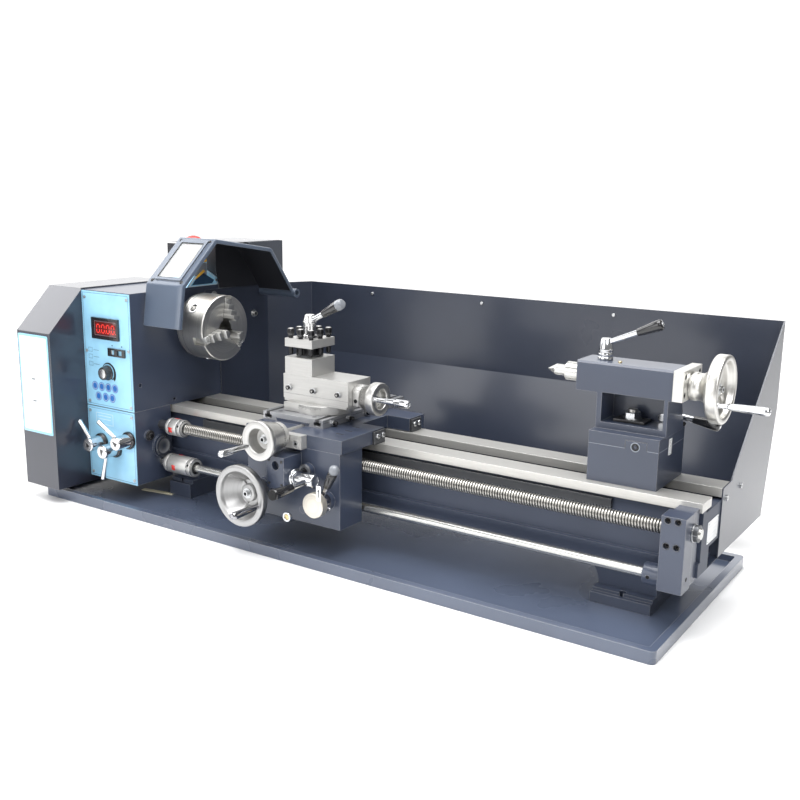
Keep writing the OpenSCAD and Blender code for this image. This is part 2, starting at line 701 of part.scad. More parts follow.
module tool_post_bolts() {
    color([0.09, 0.09, 0.10]) for (p = post_bolts) {
        rod_z(326, 352, post_cx + p[0], post_cy + p[1], 4);
        translate([post_cx + p[0] - 4.5, post_cy + p[1] - 4.5, 351]) cube([9, 9, 13]);
    }
}
module tool_post_lever() {
    tip = [-4, -63, 410];
    root = [post_cx, post_cy, 375];
    color([0.74, 0.75, 0.77]) {
        difference() {
            union() {
                rod_z(347.2, 352, post_cx, post_cy, 14);
                rod_z(352, 384, post_cx, post_cy, 10.5);
            }
            rod_z(346, 362, post_cx, post_cy, 8 + run_fit);
        }
        bar(root, between(root, tip, 0.5), 4.5, 4.5);
        bar(between(root, tip, 0.45), between(root, tip, 0.92), 6, 9);
        translate(tip) sphere(7);
    }
}

// ---------- tailstock ----------
base_left = 443;
base_right = 550;
key_x0 = 500;
key_x1 = 532;
key_top = 252;
quill_r = 14.6;
module tailstock_base() {
    color([0.27, 0.31, 0.37]) difference() {
        union() {
            box(base_left, base_right, -50, 60, rail_top + slide_gap, 240);
            box(key_x0, key_x1, -50, -44, 240, key_top);
        }
        box(455, 538, -38, 48, rail_top - eps, 225);
        rod_z(220, 241, 490, 0, 8);
    }
}
module tailstock_body() {
    color([0.27, 0.31, 0.37]) difference() {
        union() {
            box(base_left, base_right, -50, 60, 240, 259);
            along_x(444, 552) polygon([[-30, 258], [46, 258], [36, 290], [30, 312.5], [-30, 312.5]]);
            along_x(410, 557) polygon([[-30, 312], [30, 312], [30, 354], [27, 357], [-27, 357], [-30, 354]]);
            box(557, 560, -22, 22, 320, 352);
        }
        box(452, 546, -31, 18, 269, 312.9);
        rod_x(409, 575, 0, axis_z, quill_r + run_fit);
        rod_z(257, 271, 490, 0, 8);
        rod_z(239, 260, 490, 0, 8);
        rod_z(345, 358, 442, 0, 6 + run_fit);
        rod_y(17, 47, 528, 276, 6 + run_fit);
        box(key_x0 - 0.5, key_x1 + 0.5, -51, -43.5, 239, key_top + 0.5);
    }
}
module tailstock_clamp() {
    color([0.35, 0.35, 0.36]) {
        rod_z(160, 280, 490, 0, 7.9);
        box(468, 512, -16, 12, 269, 273);
        translate([490, 0, 273]) cylinder(h = 9, r = 12, $fn = 6);
        box(460, 520, -38, 38, 157, 169.1);
    }
}
module base_lock_lever() {
    color([0.72, 0.73, 0.75]) {
        rod_y(19, 47, 528, 276, 6);
        rod_y(46.5, 60, 528, 276, 11);
        bar([530, 53, 276], [572, 51, 272], 4.5, 4.5);
        bar([568, 51.2, 272.4], [606, 49, 268], 6, 8.5);
    }
}
module quill() {
    color([0.74, 0.75, 0.76]) difference() {
        rod_x(383, 540, 0, axis_z, quill_r);
        rod_x(382, 400, 0, axis_z, 8.5);
        rod_x(470, 541, 0, axis_z, 8);
    }
}
module dead_centre() {
    color([0.72, 0.70, 0.66]) turned_x(0, axis_z, [[0, 349], [8.5, 364], [8.5, 400], [0, 400]]);
}
module tailstock_handwheel() {
    r = tailstock_wheel_r;
    color([0.80, 0.81, 0.83]) {
        rod_x(475, 578, 0, axis_z, 7.5);
        turned_x(0, axis_z, [[0, 575.3], [18.5, 575.3], [18.5, 588], [22, 596], [36, 606], [r - 2, 608],
            [r, 610], [r, 626], [r - 2, 628], [r - 9, 628], [r - 10, 616], [34, 613], [12, 606], [12, 612], [0, 612]]);
        rod_x(614, 636, -38, 318, 4);
        rod_x(636, 694, -38, 318, 5.5);
    }
}
module end_plate() {
    color([0.80, 0.81, 0.83]) difference() {
        box(560, 574.8, -40, 40, 315, 359);
        rod_x(559, 576, 0, axis_z, 7.5 + run_fit);
        for (y = [-31, 31], z = [324, 350]) rod_x(570, 576, y, z, 4.5);
    }
}
module quill_lock_lever() {
    root = [446, 0, 383];
    tip = [526, 0, 417];
    color([0.76, 0.77, 0.79]) {
        rod_z(axis_z + quill_r + 0.3, 357.3, 442, 0, 6);
        rod_z(357.2, 389, 442, 0, 9.5);
        bar(root, between(root, tip, 0.6), 4.2, 4.2);
        bar(between(root, tip, 0.52), tip, 5.5, 8.2);
    }
}

// ---------- guard and controls ----------
guard_path = [[-134, 346], [-122, 423], [-34, 503], [122, 479], [hinge_y - 4.8, hinge_z + 6.4]];
window_lo = 0.13;
window_hi = 0.87;
module guard_window_cut(grow, t0, t1) {
    a = guard_path[1];
    b = guard_path[2];
    slope = atan2(b[1] - a[1], b[0] - a[0]);
    run = norm(b - a);
    translate([0, a[0], a[1]]) rotate([slope, 0, 0])
        box(guard_left + 18 - grow, guard_right - 16 + grow, run * window_lo - grow, run * window_hi + grow, t0, t1);
}
module chuck_guard() {
    color([0.55, 0.60, 0.72]) difference() {
        union() {
            along_x(guard_left, guard_right) strip(guard_path, -sheet);
            along_x(guard_right - sheet - 0.5, guard_right - 0.5) strip(guard_path, -12);
            rod_x(guard_left + 0.4, guard_right + 4, hinge_y, hinge_z, 9);
        }
        rod_x(guard_left - eps, guard_right + 5, hinge_y, hinge_z, 5 + run_fit);
        guard_window_cut(0, -5, 5);
    }
}
module guard_window() { color([0.85, 0.92, 0.95, 0.4]) guard_window_cut(5, 0, 1.6); }

// Gearbox lever: a hub on the panel at (x, z) with a rod to the tip
module gearbox_lever(x, z, tip_x, tip_z) {
    root = [x, -184, z];
    tip = [tip_x, -190, tip_z];
    color([0.76, 0.77, 0.78]) {
        rod_y(-170, panel_front - 0.2, x, z, 17);
        turned_y(x, z, [[0, -197], [9, -197], [13, -193], [13, -170], [0, -170]]);
        bar(root, tip, 4, 4.6);
    }
}
module gearbox_lever_1() { gearbox_lever(-503.7, 115.5, -532.6, 158.6); }
module gearbox_lever_2() { gearbox_lever(-427, 129.5, -477.9, 164.6); }
module gearbox_lever_3() { gearbox_lever(-465, 107.5, -472.7, 52.1); }
module speed_knob() {
    color([0.10, 0.10, 0.11]) {
        rod_y(-176, panel_front - 0.3, knob_x, knob_z, 13);
        rod_y(-162, head_front - 0.2, knob_x, knob_z, 5 - run_fit);
    }
}
module direction_switch() {
    color([0.85, 0.85, 0.86]) box(-453, -445, -166, panel_front - 0.2, 289.2, 297.8);
}
module emergency_stop() {
    color([0.80, 0.10, 0.10]) turned_z(stop_x, stop_y, [[0, 456], [8, 456], [8, 478], [15, 484], [17, 492],
        [14, 500], [6, 503.5], [0, 503.5]]);
}

tray();
bed();
bed_feet();
rack();
headstock();
gearbox();
gear_cover();
front_panels();
speed_display();
console();
electrical_box();
splash_guard();
end_bracket();
motor();
spindle_bearings();
fasteners();
drive_belt();
spindle();
chuck_body();
chuck_scroll();
jaw_1();
jaw_2();
jaw_3();
motor_pulley();
idler_gear();
leadscrew();
feed_rod();
saddle();
apron();
cross_screw_bracket();
way_wipers();
carriage_handwheel();
feed_lever();
half_nut_lever();
half_nut();
cross_handwheel();
cross_slide();
compound_base();
top_slide();
compound_handwheel();
tool_post();
tool_post_bolts();
tool_post_lever();
tailstock_base();
tailstock_body();
end_plate();
tailstock_clamp();
base_lock_lever();
quill();
dead_centre();
tailstock_handwheel();
quill_lock_lever();
chuck_guard();
guard_window();
gearbox_lever_1();
gearbox_lever_2();
gearbox_lever_3();
speed_knob();
direction_switch();
emergency_stop();
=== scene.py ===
"""Looks of a bench metal lathe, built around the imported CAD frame. Lengths in this file are millimetres."""
import json
import math

import bmesh
import bpy
from mathutils import Matrix, Vector


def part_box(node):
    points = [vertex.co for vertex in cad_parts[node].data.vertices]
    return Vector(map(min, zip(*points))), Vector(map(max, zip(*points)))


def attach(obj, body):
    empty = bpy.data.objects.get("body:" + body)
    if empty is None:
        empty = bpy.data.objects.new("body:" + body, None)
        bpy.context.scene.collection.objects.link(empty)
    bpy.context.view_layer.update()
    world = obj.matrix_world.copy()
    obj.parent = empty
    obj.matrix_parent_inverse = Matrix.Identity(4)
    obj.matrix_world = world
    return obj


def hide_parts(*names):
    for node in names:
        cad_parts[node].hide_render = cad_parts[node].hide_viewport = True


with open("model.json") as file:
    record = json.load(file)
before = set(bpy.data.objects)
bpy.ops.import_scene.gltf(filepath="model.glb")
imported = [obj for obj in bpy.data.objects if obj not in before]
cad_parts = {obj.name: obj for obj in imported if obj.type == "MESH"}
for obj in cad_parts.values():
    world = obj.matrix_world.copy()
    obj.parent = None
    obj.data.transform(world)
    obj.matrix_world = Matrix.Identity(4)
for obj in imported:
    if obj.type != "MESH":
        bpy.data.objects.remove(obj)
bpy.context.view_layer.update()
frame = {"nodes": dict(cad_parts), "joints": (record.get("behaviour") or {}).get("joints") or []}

MM = 0.001
SHARP_ANGLE = 32  # degrees; smoother edges than this are shaded round
BALL_STEPS = 32
ARC_STEPS = 5  # steps in each rounded corner
RING_SCALE = 900.0  # how fine the turning rings on machined faces are
joints = {j["name"]: j for j in frame["joints"]}


def low(node):
    """Lowest corner of a CAD node, in millimetres."""
    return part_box(node)[0] / MM


def high(node):
    """Highest corner of a CAD node, in millimetres."""
    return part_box(node)[1] / MM


def pivot(joint):
    """A hinge's point, in millimetres."""
    return Vector(joints[joint]["pos_m"]) / MM


def pivot_of(node):
    """Middle of a node's box, seen from above."""
    middle = (low(node) + high(node)) / 2
    return (middle.x, middle.y)


AXES = {"x": (0, 1, 2), "y": (1, 0, 2), "z": (2, 0, 1)}


def on_axis(axis, along, a, b):
    """A point from its place along an axis and its two other coordinates, in X, Y, Z order."""
    point = [0.0, 0.0, 0.0]
    i, j, k = AXES[axis]
    point[i], point[j], point[k] = along, a, b
    return Vector(point)


# ---------------------------------------------------------------- materials
class Graph:
    """A material's node tree, with one short call for each node."""

    def __init__(self, name):
        self.material = bpy.data.materials.new(name)
        self.material.use_nodes = True
        self.tree = self.material.node_tree
        self.tree.nodes.clear()

    def node(self, kind, inputs=(), **settings):
        made = self.tree.nodes.new(kind)
        for key, value in settings.items():
            setattr(made, key, value)
        for key, value in dict(inputs).items():
            if isinstance(value, bpy.types.NodeSocket):
                self.tree.links.new(value, made.inputs[key])
            else:
                made.inputs[key].default_value = value
        return made

    def math(self, operation, *values):
        return self.node("ShaderNodeMath", dict(enumerate(values)), operation=operation).outputs[0]

    def ramp(self, fac, *stops):
        made = self.node("ShaderNodeValToRGB", {"Fac": fac})
        elements = made.color_ramp.elements
        while len(elements) < len(stops):
            elements.new(0.5)
        for element, (place, value) in zip(elements, stops):
            element.position = place
            element.color = (value, value, value, 1)
        return made.outputs["Color"]

    def mix(self, fac, a, b):
        made = self.node("ShaderNodeMix", data_type="RGBA")
        for index, value in ((0, fac), (6, a), (7, b)):
            if isinstance(value, bpy.types.NodeSocket):
                self.tree.links.new(value, made.inputs[index])
            else:
                made.inputs[index].default_value = value
        return made.outputs[2]

    def place(self):
        return self.node("ShaderNodeTexCoord").outputs["Object"]

    def stretched(self, scale):
        return self.node("ShaderNodeMapping", {"Vector": self.place(), "Scale": scale}).outputs["Vector"]

    def noise(self, vector, scale, detail=3.0, rough=0.5):
        return self.node("ShaderNodeTexNoise", {"Vector": vector, "Scale": scale, "Detail": detail,
                                                "Roughness": rough}).outputs["Fac"]

    def edges(self, radius):
        """Rounded normal, and a mask that is 1 along hard edges."""
        bevel = self.node("ShaderNodeBevel", {"Radius": radius * MM}, samples=4).outputs["Normal"]
        plain = self.node("ShaderNodeNewGeometry").outputs["True Normal"]
        dot = self.node("ShaderNodeVectorMath", {0: bevel, 1: plain}, operation="DOT_PRODUCT").outputs["Value"]
        mask = self.node("ShaderNodeMapRange", {"Value": dot, "From Min": 0.995, "From Max": 0.80}).outputs[0]
        return bevel, mask

    def bump(self, height, distance, strength=1.0, normal=None):
        inputs = {"Height": height, "Distance": distance * MM, "Strength": strength}
        if normal is not None:
            inputs["Normal"] = normal
        return self.node("ShaderNodeBump", inputs).outputs["Normal"]

    def finish(self, **inputs):
        shader = self.node("ShaderNodeBsdfPrincipled", {k.replace("_", " "): v for k, v in inputs.items()})
        out = self.node("ShaderNodeOutputMaterial")
        self.tree.links.new(shader.outputs[0], out.inputs["Surface"])
        return self.material


def rgba(color, k=1.0):
    """A colour times k, with full opacity."""
    return (color[0] * k, color[1] * k, color[2] * k, 1.0)


def paint(name, color, rough=0.38, edge=1.0, edge_wear_and_highlight=0.35, coat=0.5, grain=1.0, wave=0.0):
    """Sprayed enamel over metal: faint orange peel, slow colour drift, dust, and edges painted lighter as wear
    and as a painted highlight.
    """
    g = Graph(name)
    normal, mask = g.edges(edge)
    drift = g.noise(g.place(), 5.0, 4.0)
    peel = g.noise(g.place(), 420.0, 2.0)
    speck = g.noise(g.place(), 1500.0, 2.0)
    tone = g.mix(g.ramp(drift, (0.35, 0.0), (0.65, 1.0)), rgba(color, 0.90), rgba(color, 1.10))
    tone = g.mix(g.math("MULTIPLY", g.ramp(speck, (0.58, 0.0), (0.75, 1.0)), 0.25), tone, rgba(color, 1.5))
    # Edges mixed towards a lighter tone: partly wear, partly a painted highlight along hard edges.
    tone = g.mix(g.math("MULTIPLY", mask, edge_wear_and_highlight), tone, rgba([0.4 + 0.5 * c for c in color]))
    shine = g.math("ADD", rough - 0.06, g.math("MULTIPLY", drift, 0.12))
    if wave:
        normal = g.bump(g.noise(g.place(), 9.0, 2.0), wave, 0.5, normal)
    return g.finish(Base_Color=tone, Roughness=shine, Normal=g.bump(peel, 0.05 * grain, 0.5, normal),
                    Coat_Weight=coat, Coat_Roughness=0.16)


def ground(name, color, along="x", rough=0.30, edge=0.5, metallic=0.9):
    """Ground or milled metal, with fine lines along one axis, a few darker stains, and edges painted near white
    as wear and as a painted highlight.
    """
    g = Graph(name)
    normal, mask = g.edges(edge)
    fine = [1.0 if axis == along else 60.0 for axis in "xyz"]
    lines = g.noise(g.stretched(fine), 22.0, 5.0, 0.65)
    stain = g.noise(g.place(), 14.0, 4.0, 0.6)
    tone = g.mix(g.ramp(lines, (0.25, 0.0), (0.75, 1.0)), rgba(color, 0.86), rgba(color, 1.08))
    tone = g.mix(g.math("MULTIPLY", g.ramp(stain, (0.5, 0.0), (0.8, 1.0)), 0.22), tone, rgba(color, 0.6))
    # Edges mixed towards near white: partly rubbed wear, partly a painted highlight.
    tone = g.mix(g.math("MULTIPLY", mask, 0.5), tone, (0.95, 0.95, 0.95, 1))
    shine = g.math("ADD", rough - 0.1, g.math("MULTIPLY", lines, 0.22))
    return g.finish(Base_Color=tone, Metallic=metallic, Roughness=shine,
                    Normal=g.bump(lines, 0.02, 0.35, normal))


def turned(name, color, axis="x", centre=(0, 0, 0), rough=0.28, anisotropic=0.6, metallic=0.95):
    """Lathe-turned metal: rings about an axis through a point, with the fan-shaped highlight that they give,
    and edges painted near white as wear and as a painted highlight.
    """
    g = Graph(name)
    normal, mask = g.edges(0.4)
    shifted = g.node("ShaderNodeVectorMath", {0: g.place(), 1: Vector(centre) * MM},
                     operation="SUBTRACT").outputs[0]
    parts = g.node("ShaderNodeSeparateXYZ", {0: shifted}).outputs
    index = "xyz".index(axis)
    across = [parts[i] for i in range(3) if i != index]
    radius = g.math("SQRT", g.math("ADD", g.math("POWER", across[0], 2.0), g.math("POWER", across[1], 2.0)))
    cut = g.node("ShaderNodeCombineXYZ", {0: radius, 1: parts[index], 2: 0.0}).outputs[0]
    lines = g.noise(cut, RING_SCALE, 3.0, 0.6)
    stain = g.noise(g.place(), 18.0, 3.0)
    tone = g.mix(g.ramp(lines, (0.3, 0.0), (0.7, 1.0)), rgba(color, 0.84), rgba(color, 1.08))
    tone = g.mix(g.math("MULTIPLY", g.ramp(stain, (0.55, 0.0), (0.8, 1.0)), 0.2), tone, rgba(color, 0.65))
    # Edges mixed towards near white: partly wear, partly a painted highlight.
    tone = g.mix(g.math("MULTIPLY", mask, 0.5), tone, (0.96, 0.96, 0.95, 1))
    around = g.node("ShaderNodeVectorMath", {0: on_axis(axis, 1, 0, 0), 1: shifted},
                    operation="CROSS_PRODUCT").outputs[0]
    tangent = g.node("ShaderNodeVectorTransform", {"Vector": around}, vector_type="VECTOR",
                     convert_from="OBJECT", convert_to="WORLD").outputs[0]
    return g.finish(Base_Color=tone, Metallic=metallic, Roughness=g.math("ADD", rough - 0.06,
                                                                         g.math("MULTIPLY", lines, 0.14)),
                    Anisotropic=anisotropic, Tangent=tangent, Normal=g.bump(lines, 0.015, 0.3, normal))


def threaded(name, color, centre, root, crest):
    """A screw thread along X: painted shade darkens it towards the root of its grooves, and it is brighter on
    its crests.
    """
    g = Graph(name)
    normal = g.edges(0.2)[0]
    shifted = g.node("ShaderNodeVectorMath", {0: g.place(), 1: Vector(centre) * MM},
                     operation="SUBTRACT").outputs[0]
    parts = g.node("ShaderNodeSeparateXYZ", {0: shifted}).outputs
    radius = g.math("SQRT", g.math("ADD", g.math("POWER", parts["Y"], 2.0), g.math("POWER", parts["Z"], 2.0)))
    height = g.node("ShaderNodeMapRange", {"Value": radius, "From Min": root * MM,
                                           "From Max": crest * MM}).outputs[0]
    wear = g.noise(g.stretched((4.0, 20.0, 20.0)), 20.0, 4.0)
    # Colour falls to a tenth towards the thread's root: painted shade in the grooves.
    tone = g.mix(height, rgba(color, 0.10), g.mix(wear, rgba(color, 0.8), rgba(color, 1.15)))
    return g.finish(Base_Color=tone, Metallic=0.9, Roughness=g.math("ADD", 0.22,
                                                                    g.math("MULTIPLY", wear, 0.16)),
                    Normal=g.bump(wear, 0.02, 0.3, normal))


def cast(name, color):
    """Machined aluminium casting: pale, slightly grainy, softly reflective, with edges painted near white as
    wear and as a painted highlight.
    """
    g = Graph(name)
    normal, mask = g.edges(0.6)
    grain = g.noise(g.place(), 600.0, 4.0, 0.7)
    cloud = g.noise(g.place(), 30.0, 3.0)
    tone = g.mix(g.ramp(cloud, (0.3, 0.0), (0.7, 1.0)), rgba(color, 0.92), rgba(color, 1.05))
    tone = g.mix(g.math("MULTIPLY", g.ramp(grain, (0.5, 0.0), (0.7, 1.0)), 0.3), tone, rgba(color, 0.75))
    # Edges mixed towards near white: partly wear, partly a painted highlight.
    tone = g.mix(g.math("MULTIPLY", mask, 0.4), tone, (0.98, 0.98, 0.97, 1))
    return g.finish(Base_Color=tone, Metallic=0.65, Roughness=g.math("ADD", 0.32,
                                                                     g.math("MULTIPLY", grain, 0.18)),
                    Normal=g.bump(grain, 0.03, 0.5, normal))


def bright(name, color, rough=0.10):
    """Chromed or polished metal with hair-fine scratches."""
    g = Graph(name)
    normal = g.edges(0.4)[0]
    scratch = g.noise(g.stretched((8.0, 60.0, 8.0)), 30.0, 4.0, 0.7)
    tone = g.mix(g.ramp(scratch, (0.4, 0.0), (0.7, 1.0)), rgba(color, 0.94), rgba(color, 1.04))
    return g.finish(Base_Color=tone, Metallic=1.0, Roughness=g.math("ADD", rough,
                                                                    g.math("MULTIPLY", scratch, 0.08)),
                    Normal=g.bump(scratch, 0.004, 0.3, normal))


def plastic(name, color, rough=0.35, edge=0.5, coat=0.2, emission=0.0):
    """Moulded plastic with a fine spark texture, and edges painted lighter as wear and as a painted highlight.
    """
    g = Graph(name)
    normal, mask = g.edges(edge)
    spark = g.noise(g.place(), 1800.0, 2.0)
    cloud = g.noise(g.place(), 25.0, 2.0)
    tone = g.mix(g.ramp(cloud, (0.3, 0.0), (0.7, 1.0)), rgba(color, 0.92), rgba(color, 1.08))
    # Edges mixed towards a lighter tone: partly wear, partly a painted highlight.
    tone = g.mix(g.math("MULTIPLY", mask, 0.2), tone, rgba([0.3 + 0.6 * c for c in color]))
    extra = {"Emission_Color": rgba(color), "Emission_Strength": emission} if emission else {}
    return g.finish(Base_Color=tone, Roughness=g.math("ADD", rough - 0.05, g.math("MULTIPLY", spark, 0.12)),
                    Normal=g.bump(spark, 0.02, 0.4, normal), Coat_Weight=coat, **extra)


def casting_with_rails(name, color, steel, rail_z):
    """The bed: painted casting, with ground steel from the rails' lower edge up; edges painted lighter, and
    white on the rails, as wear and as a painted highlight.
    """
    g = Graph(name)
    normal, mask = g.edges(1.2)
    height = g.node("ShaderNodeSeparateXYZ", {0: g.place()}).outputs["Z"]
    rail = g.math("GREATER_THAN", height, rail_z * MM)
    drift = g.noise(g.place(), 6.0, 4.0)
    sand = g.noise(g.place(), 260.0, 4.0, 0.6)
    lines = g.noise(g.stretched((1.0, 70.0, 70.0)), 22.0, 5.0, 0.65)
    dull = g.mix(g.ramp(drift, (0.35, 0.0), (0.65, 1.0)), rgba(color, 0.88), rgba(color, 1.12))
    # Casting edges mixed lighter: partly wear, partly a painted highlight.
    dull = g.mix(g.math("MULTIPLY", mask, 0.3), dull, rgba([0.35 + 0.5 * c for c in color]))
    shiny = g.mix(g.ramp(lines, (0.25, 0.0), (0.75, 1.0)), rgba(steel, 0.85), rgba(steel, 1.08))
    # Rail edges mixed towards white: a painted highlight, partly wear.
    shiny = g.mix(g.math("MULTIPLY", mask, 0.5), shiny, (1, 1, 1, 1))
    tone = g.mix(rail, dull, shiny)
    rough = g.math("SUBTRACT", g.math("ADD", 0.42, g.math("MULTIPLY", lines, 0.12)),
                   g.math("MULTIPLY", rail, 0.16))
    relief = g.math("MULTIPLY", sand, g.math("SUBTRACT", 1.0, rail))
    return g.finish(Base_Color=tone, Metallic=g.math("MULTIPLY", rail, 0.55), Roughness=rough,
                    Normal=g.bump(relief, 0.12, 0.5, normal))


def clear(name):
    """Clear polycarbonate."""
    g = Graph(name)
    haze = g.noise(g.place(), 40.0, 3.0)
    rough = g.math("ADD", 0.04, g.math("MULTIPLY", haze, 0.06))
    return g.finish(Base_Color=(0.93, 0.96, 0.98, 1), Roughness=rough, Alpha=0.30, IOR=1.45,
                    Specular_IOR_Level=0.6)


axis_point = pivot("spindle_spin")
GREY = (0.028, 0.031, 0.047)
CASTING = (0.042, 0.054, 0.088)
SHEET = (0.030, 0.037, 0.058)
M = {
    "grey": paint("grey_enamel", GREY, 0.34, 1.2, 0.5, 0.6),
    "casting": paint("casting_enamel", CASTING, 0.38, 1.5, 0.55, 0.4, 2.0),
    "dark": paint("dark_enamel", (0.032, 0.038, 0.052), 0.40, 1.5, 0.4, 0.3),
    "cabinet": paint("cabinet_enamel", (0.045, 0.053, 0.070), 0.38, 1.2, 0.4, 0.5),
    "sheet": paint("sheet_enamel", SHEET, 0.30, 0.8, 0.6, 0.45, wave=0.2),
    # The tray's strong edge lightening is mostly a painted highlight along its rim, partly wear.
    "tray": paint("tray_enamel", (0.080, 0.100, 0.150), 0.28, 1.6, 0.9, 0.7),
    "guard": paint("guard_enamel", (0.080, 0.105, 0.150), 0.33, 1.0, 0.6, 0.5),
    # Near-black enamel that stands in for shade: inside the chuck guard and over the cabinet's front.
    "painted_shade_sheet": paint("painted_shade_sheet", (0.012, 0.013, 0.018), 0.6, 1.0, 0.05, 0.0),
    "panel": plastic("panel_print", (0.33, 0.64, 0.86), 0.32, 0.4, 0.3),
    "panel_line": plastic("panel_line", (0.06, 0.16, 0.28), 0.35),
    "panel_white": plastic("panel_white", (0.86, 0.89, 0.91), 0.35),
    "plate_white": plastic("plate_white", (0.90, 0.91, 0.92), 0.4),
    "blue": plastic("sign_blue", (0.02, 0.15, 0.48), 0.35),
    "teal": plastic("teal_stripe", (0.01, 0.05, 0.11), 0.30),
    "yellow": plastic("stop_yellow", (0.90, 0.50, 0.05), 0.35),
    "red": plastic("stop_red", (0.62, 0.03, 0.02), 0.25, 0.5, 0.5),
    "led": plastic("led_red", (0.80, 0.03, 0.02), 0.4, 0.2, 0.0, 0.35),
    "led_off": plastic("led_window", (0.13, 0.012, 0.010), 0.15, 0.2, 0.6),
    "black": plastic("black_plastic", (0.010, 0.010, 0.012), 0.22, 0.6, 0.6),
    "rubber": plastic("belt_rubber", (0.02, 0.02, 0.02), 0.7, 0.5, 0.0),
    "block": ground("block_steel", (0.52, 0.515, 0.50), "x", 0.34, 0.6, 0.6),
    "slide": ground("slide_steel", (0.38, 0.385, 0.40), "y", 0.34, 0.6, 0.6),
    "rod": ground("rod_steel", (0.60, 0.60, 0.58), "x", 0.24),
    "screw": ground("screw_steel", (0.48, 0.47, 0.45), "x", 0.30),
    "dark_steel": ground("dark_steel", (0.13, 0.135, 0.145), "x", 0.40, 0.4, 0.8),
    "black_steel": ground("black_steel", (0.020, 0.020, 0.022), "z", 0.34, 0.4, 0.6),
    "chuck": turned("chuck_steel", (0.64, 0.63, 0.60), "x", axis_point, 0.30, 0.75),
    "jaw": ground("jaw_steel", (0.46, 0.46, 0.45), "y", 0.32, 0.7),
    "spun_x": turned("turned_steel_x", (0.62, 0.62, 0.60), "x", axis_point, 0.25, 0.4),
    "wheel_x": turned("turned_wheel_x", (0.66, 0.65, 0.62), "x", pivot("tailstock_wheel_turn"), 0.30, 0.5),
    "wheel_y": turned("turned_wheel_y", (0.42, 0.42, 0.42), "y", pivot("carriage_wheel_turn"), 0.32, 0.6),
    "cup_y": turned("turned_cup_y", (0.58, 0.575, 0.56), "y", pivot("cross_wheel_turn"), 0.32, 0.5),
    "cup_x": turned("turned_cup_x", (0.56, 0.555, 0.54), "x", pivot("compound_wheel_turn"), 0.32, 0.5),
    "disc_y": turned("turned_disc_y", (0.72, 0.68, 0.60), "y", pivot("half_nut_lever_turn"), 0.38, 0.4, 0.8),
    "thread": threaded("leadscrew_thread", (0.60, 0.58, 0.54), pivot("leadscrew_spin"), 9.3, 10.0),
    "cast": cast("cast_aluminium", (0.56, 0.555, 0.54)),
    "polished": bright("polished_aluminium", (0.74, 0.74, 0.74), 0.22),
    "chrome": bright("chrome", (0.68, 0.69, 0.71), 0.08),
    "zinc": bright("zinc", (0.58, 0.59, 0.60), 0.24),
    "brass": bright("brass", (0.70, 0.56, 0.30), 0.24),
    "mirror": bright("chrome_face", (0.74, 0.75, 0.76), 0.16),
    "dark_chrome": bright("dark_chrome", (0.40, 0.40, 0.42), 0.10),
    "ball_grey": plastic("lever_ball", (0.20, 0.215, 0.24), 0.18, 0.5, 0.8),
    "jaw_edge": ground("jaw_edge", (0.78, 0.78, 0.76), "z", 0.25),
    "plate_grey": plastic("plate_grey", (0.20, 0.22, 0.25), 0.4),
    "faint_line": plastic("faint_line", (0.72, 0.74, 0.76), 0.4),
    "casting_line": plastic("joint_line", (0.26, 0.29, 0.34), 0.4),
    "cream": plastic("cream_strip", (0.62, 0.58, 0.42), 0.5),
    # Near-black: printed and engraved marks, and painted shade filling sockets, holes and slots.
    "hole": plastic("near_black_print_and_hole_shade", (0.004, 0.004, 0.005), 0.8, 0.2, 0.0),
    "clear": clear("clear_window"),
    "bed": casting_with_rails("bed_casting", CASTING, (0.62, 0.61, 0.58), 169.4),
}

NODE_LOOKS = {
    "tray": "tray", "bed": "bed", "bed_feet": "casting", "rack": "dark_steel", "headstock": "casting",
    "gearbox": "casting", "gear_cover": "grey", "electrical_box": "cabinet", "splash_guard": "sheet",
    "end_bracket": "casting", "motor": "dark", "spindle_bearings": "spun_x", "drive_belt": "rubber",
    "spindle": "spun_x", "chuck_body": "chuck", "chuck_scroll": "dark_steel", "motor_pulley": "cast",
    "idler_gear": "dark_steel", "saddle": "casting", "apron": "casting", "cross_slide": "slide",
    "compound_base": "block", "top_slide": "block", "tool_post": "block", "tailstock_base": "casting",
    "tailstock_body": "casting", "tailstock_clamp": "dark_steel", "quill": "rod", "dead_centre": "rod",
    "half_nut": "brass", "front_panels": "panel", "cross_screw_bracket": "cast", "feed_rod": "rod",
    "end_plate": "wheel_x", "fasteners": "zinc", "way_wipers": "dark_steel", "leadscrew": "dark_steel",
    "guard_window": "clear", "console": "panel", "speed_display": "black", "direction_switch": "black",
}


def dress_nodes():
    """Gives each CAD node that stays visible its look."""
    for node, look in NODE_LOOKS.items():
        mesh = frame["nodes"][node].data
        mesh.materials.clear()
        mesh.materials.append(M[look])


# ---------------------------------------------------------------- piece builder
def softened(profile, size):
    """Cuts each inner corner of a profile with a small chamfer."""
    out = [profile[0]]
    for before, here, after in zip(profile, profile[1:], profile[2:]):
        for other in (before, after):
            gap = math.dist(here, other)
            step = min(size, gap * 0.3) / gap if gap else 0.0
            out.append((here[0] + (other[0] - here[0]) * step, here[1] + (other[1] - here[1]) * step))
    out.append(profile[-1])
    return out


def skin(part, rings, steps):
    """Faces between neighbouring rings of vertices; a ring of one vertex closes an end."""
    for one, two in zip(rings, rings[1:]):
        for i in range(steps):
            quad = [one[i % len(one)], one[(i + 1) % len(one)], two[(i + 1) % len(two)], two[i % len(two)]]
            kept = list(dict.fromkeys(quad))
            if len(kept) > 2:
                part.faces.new(kept)


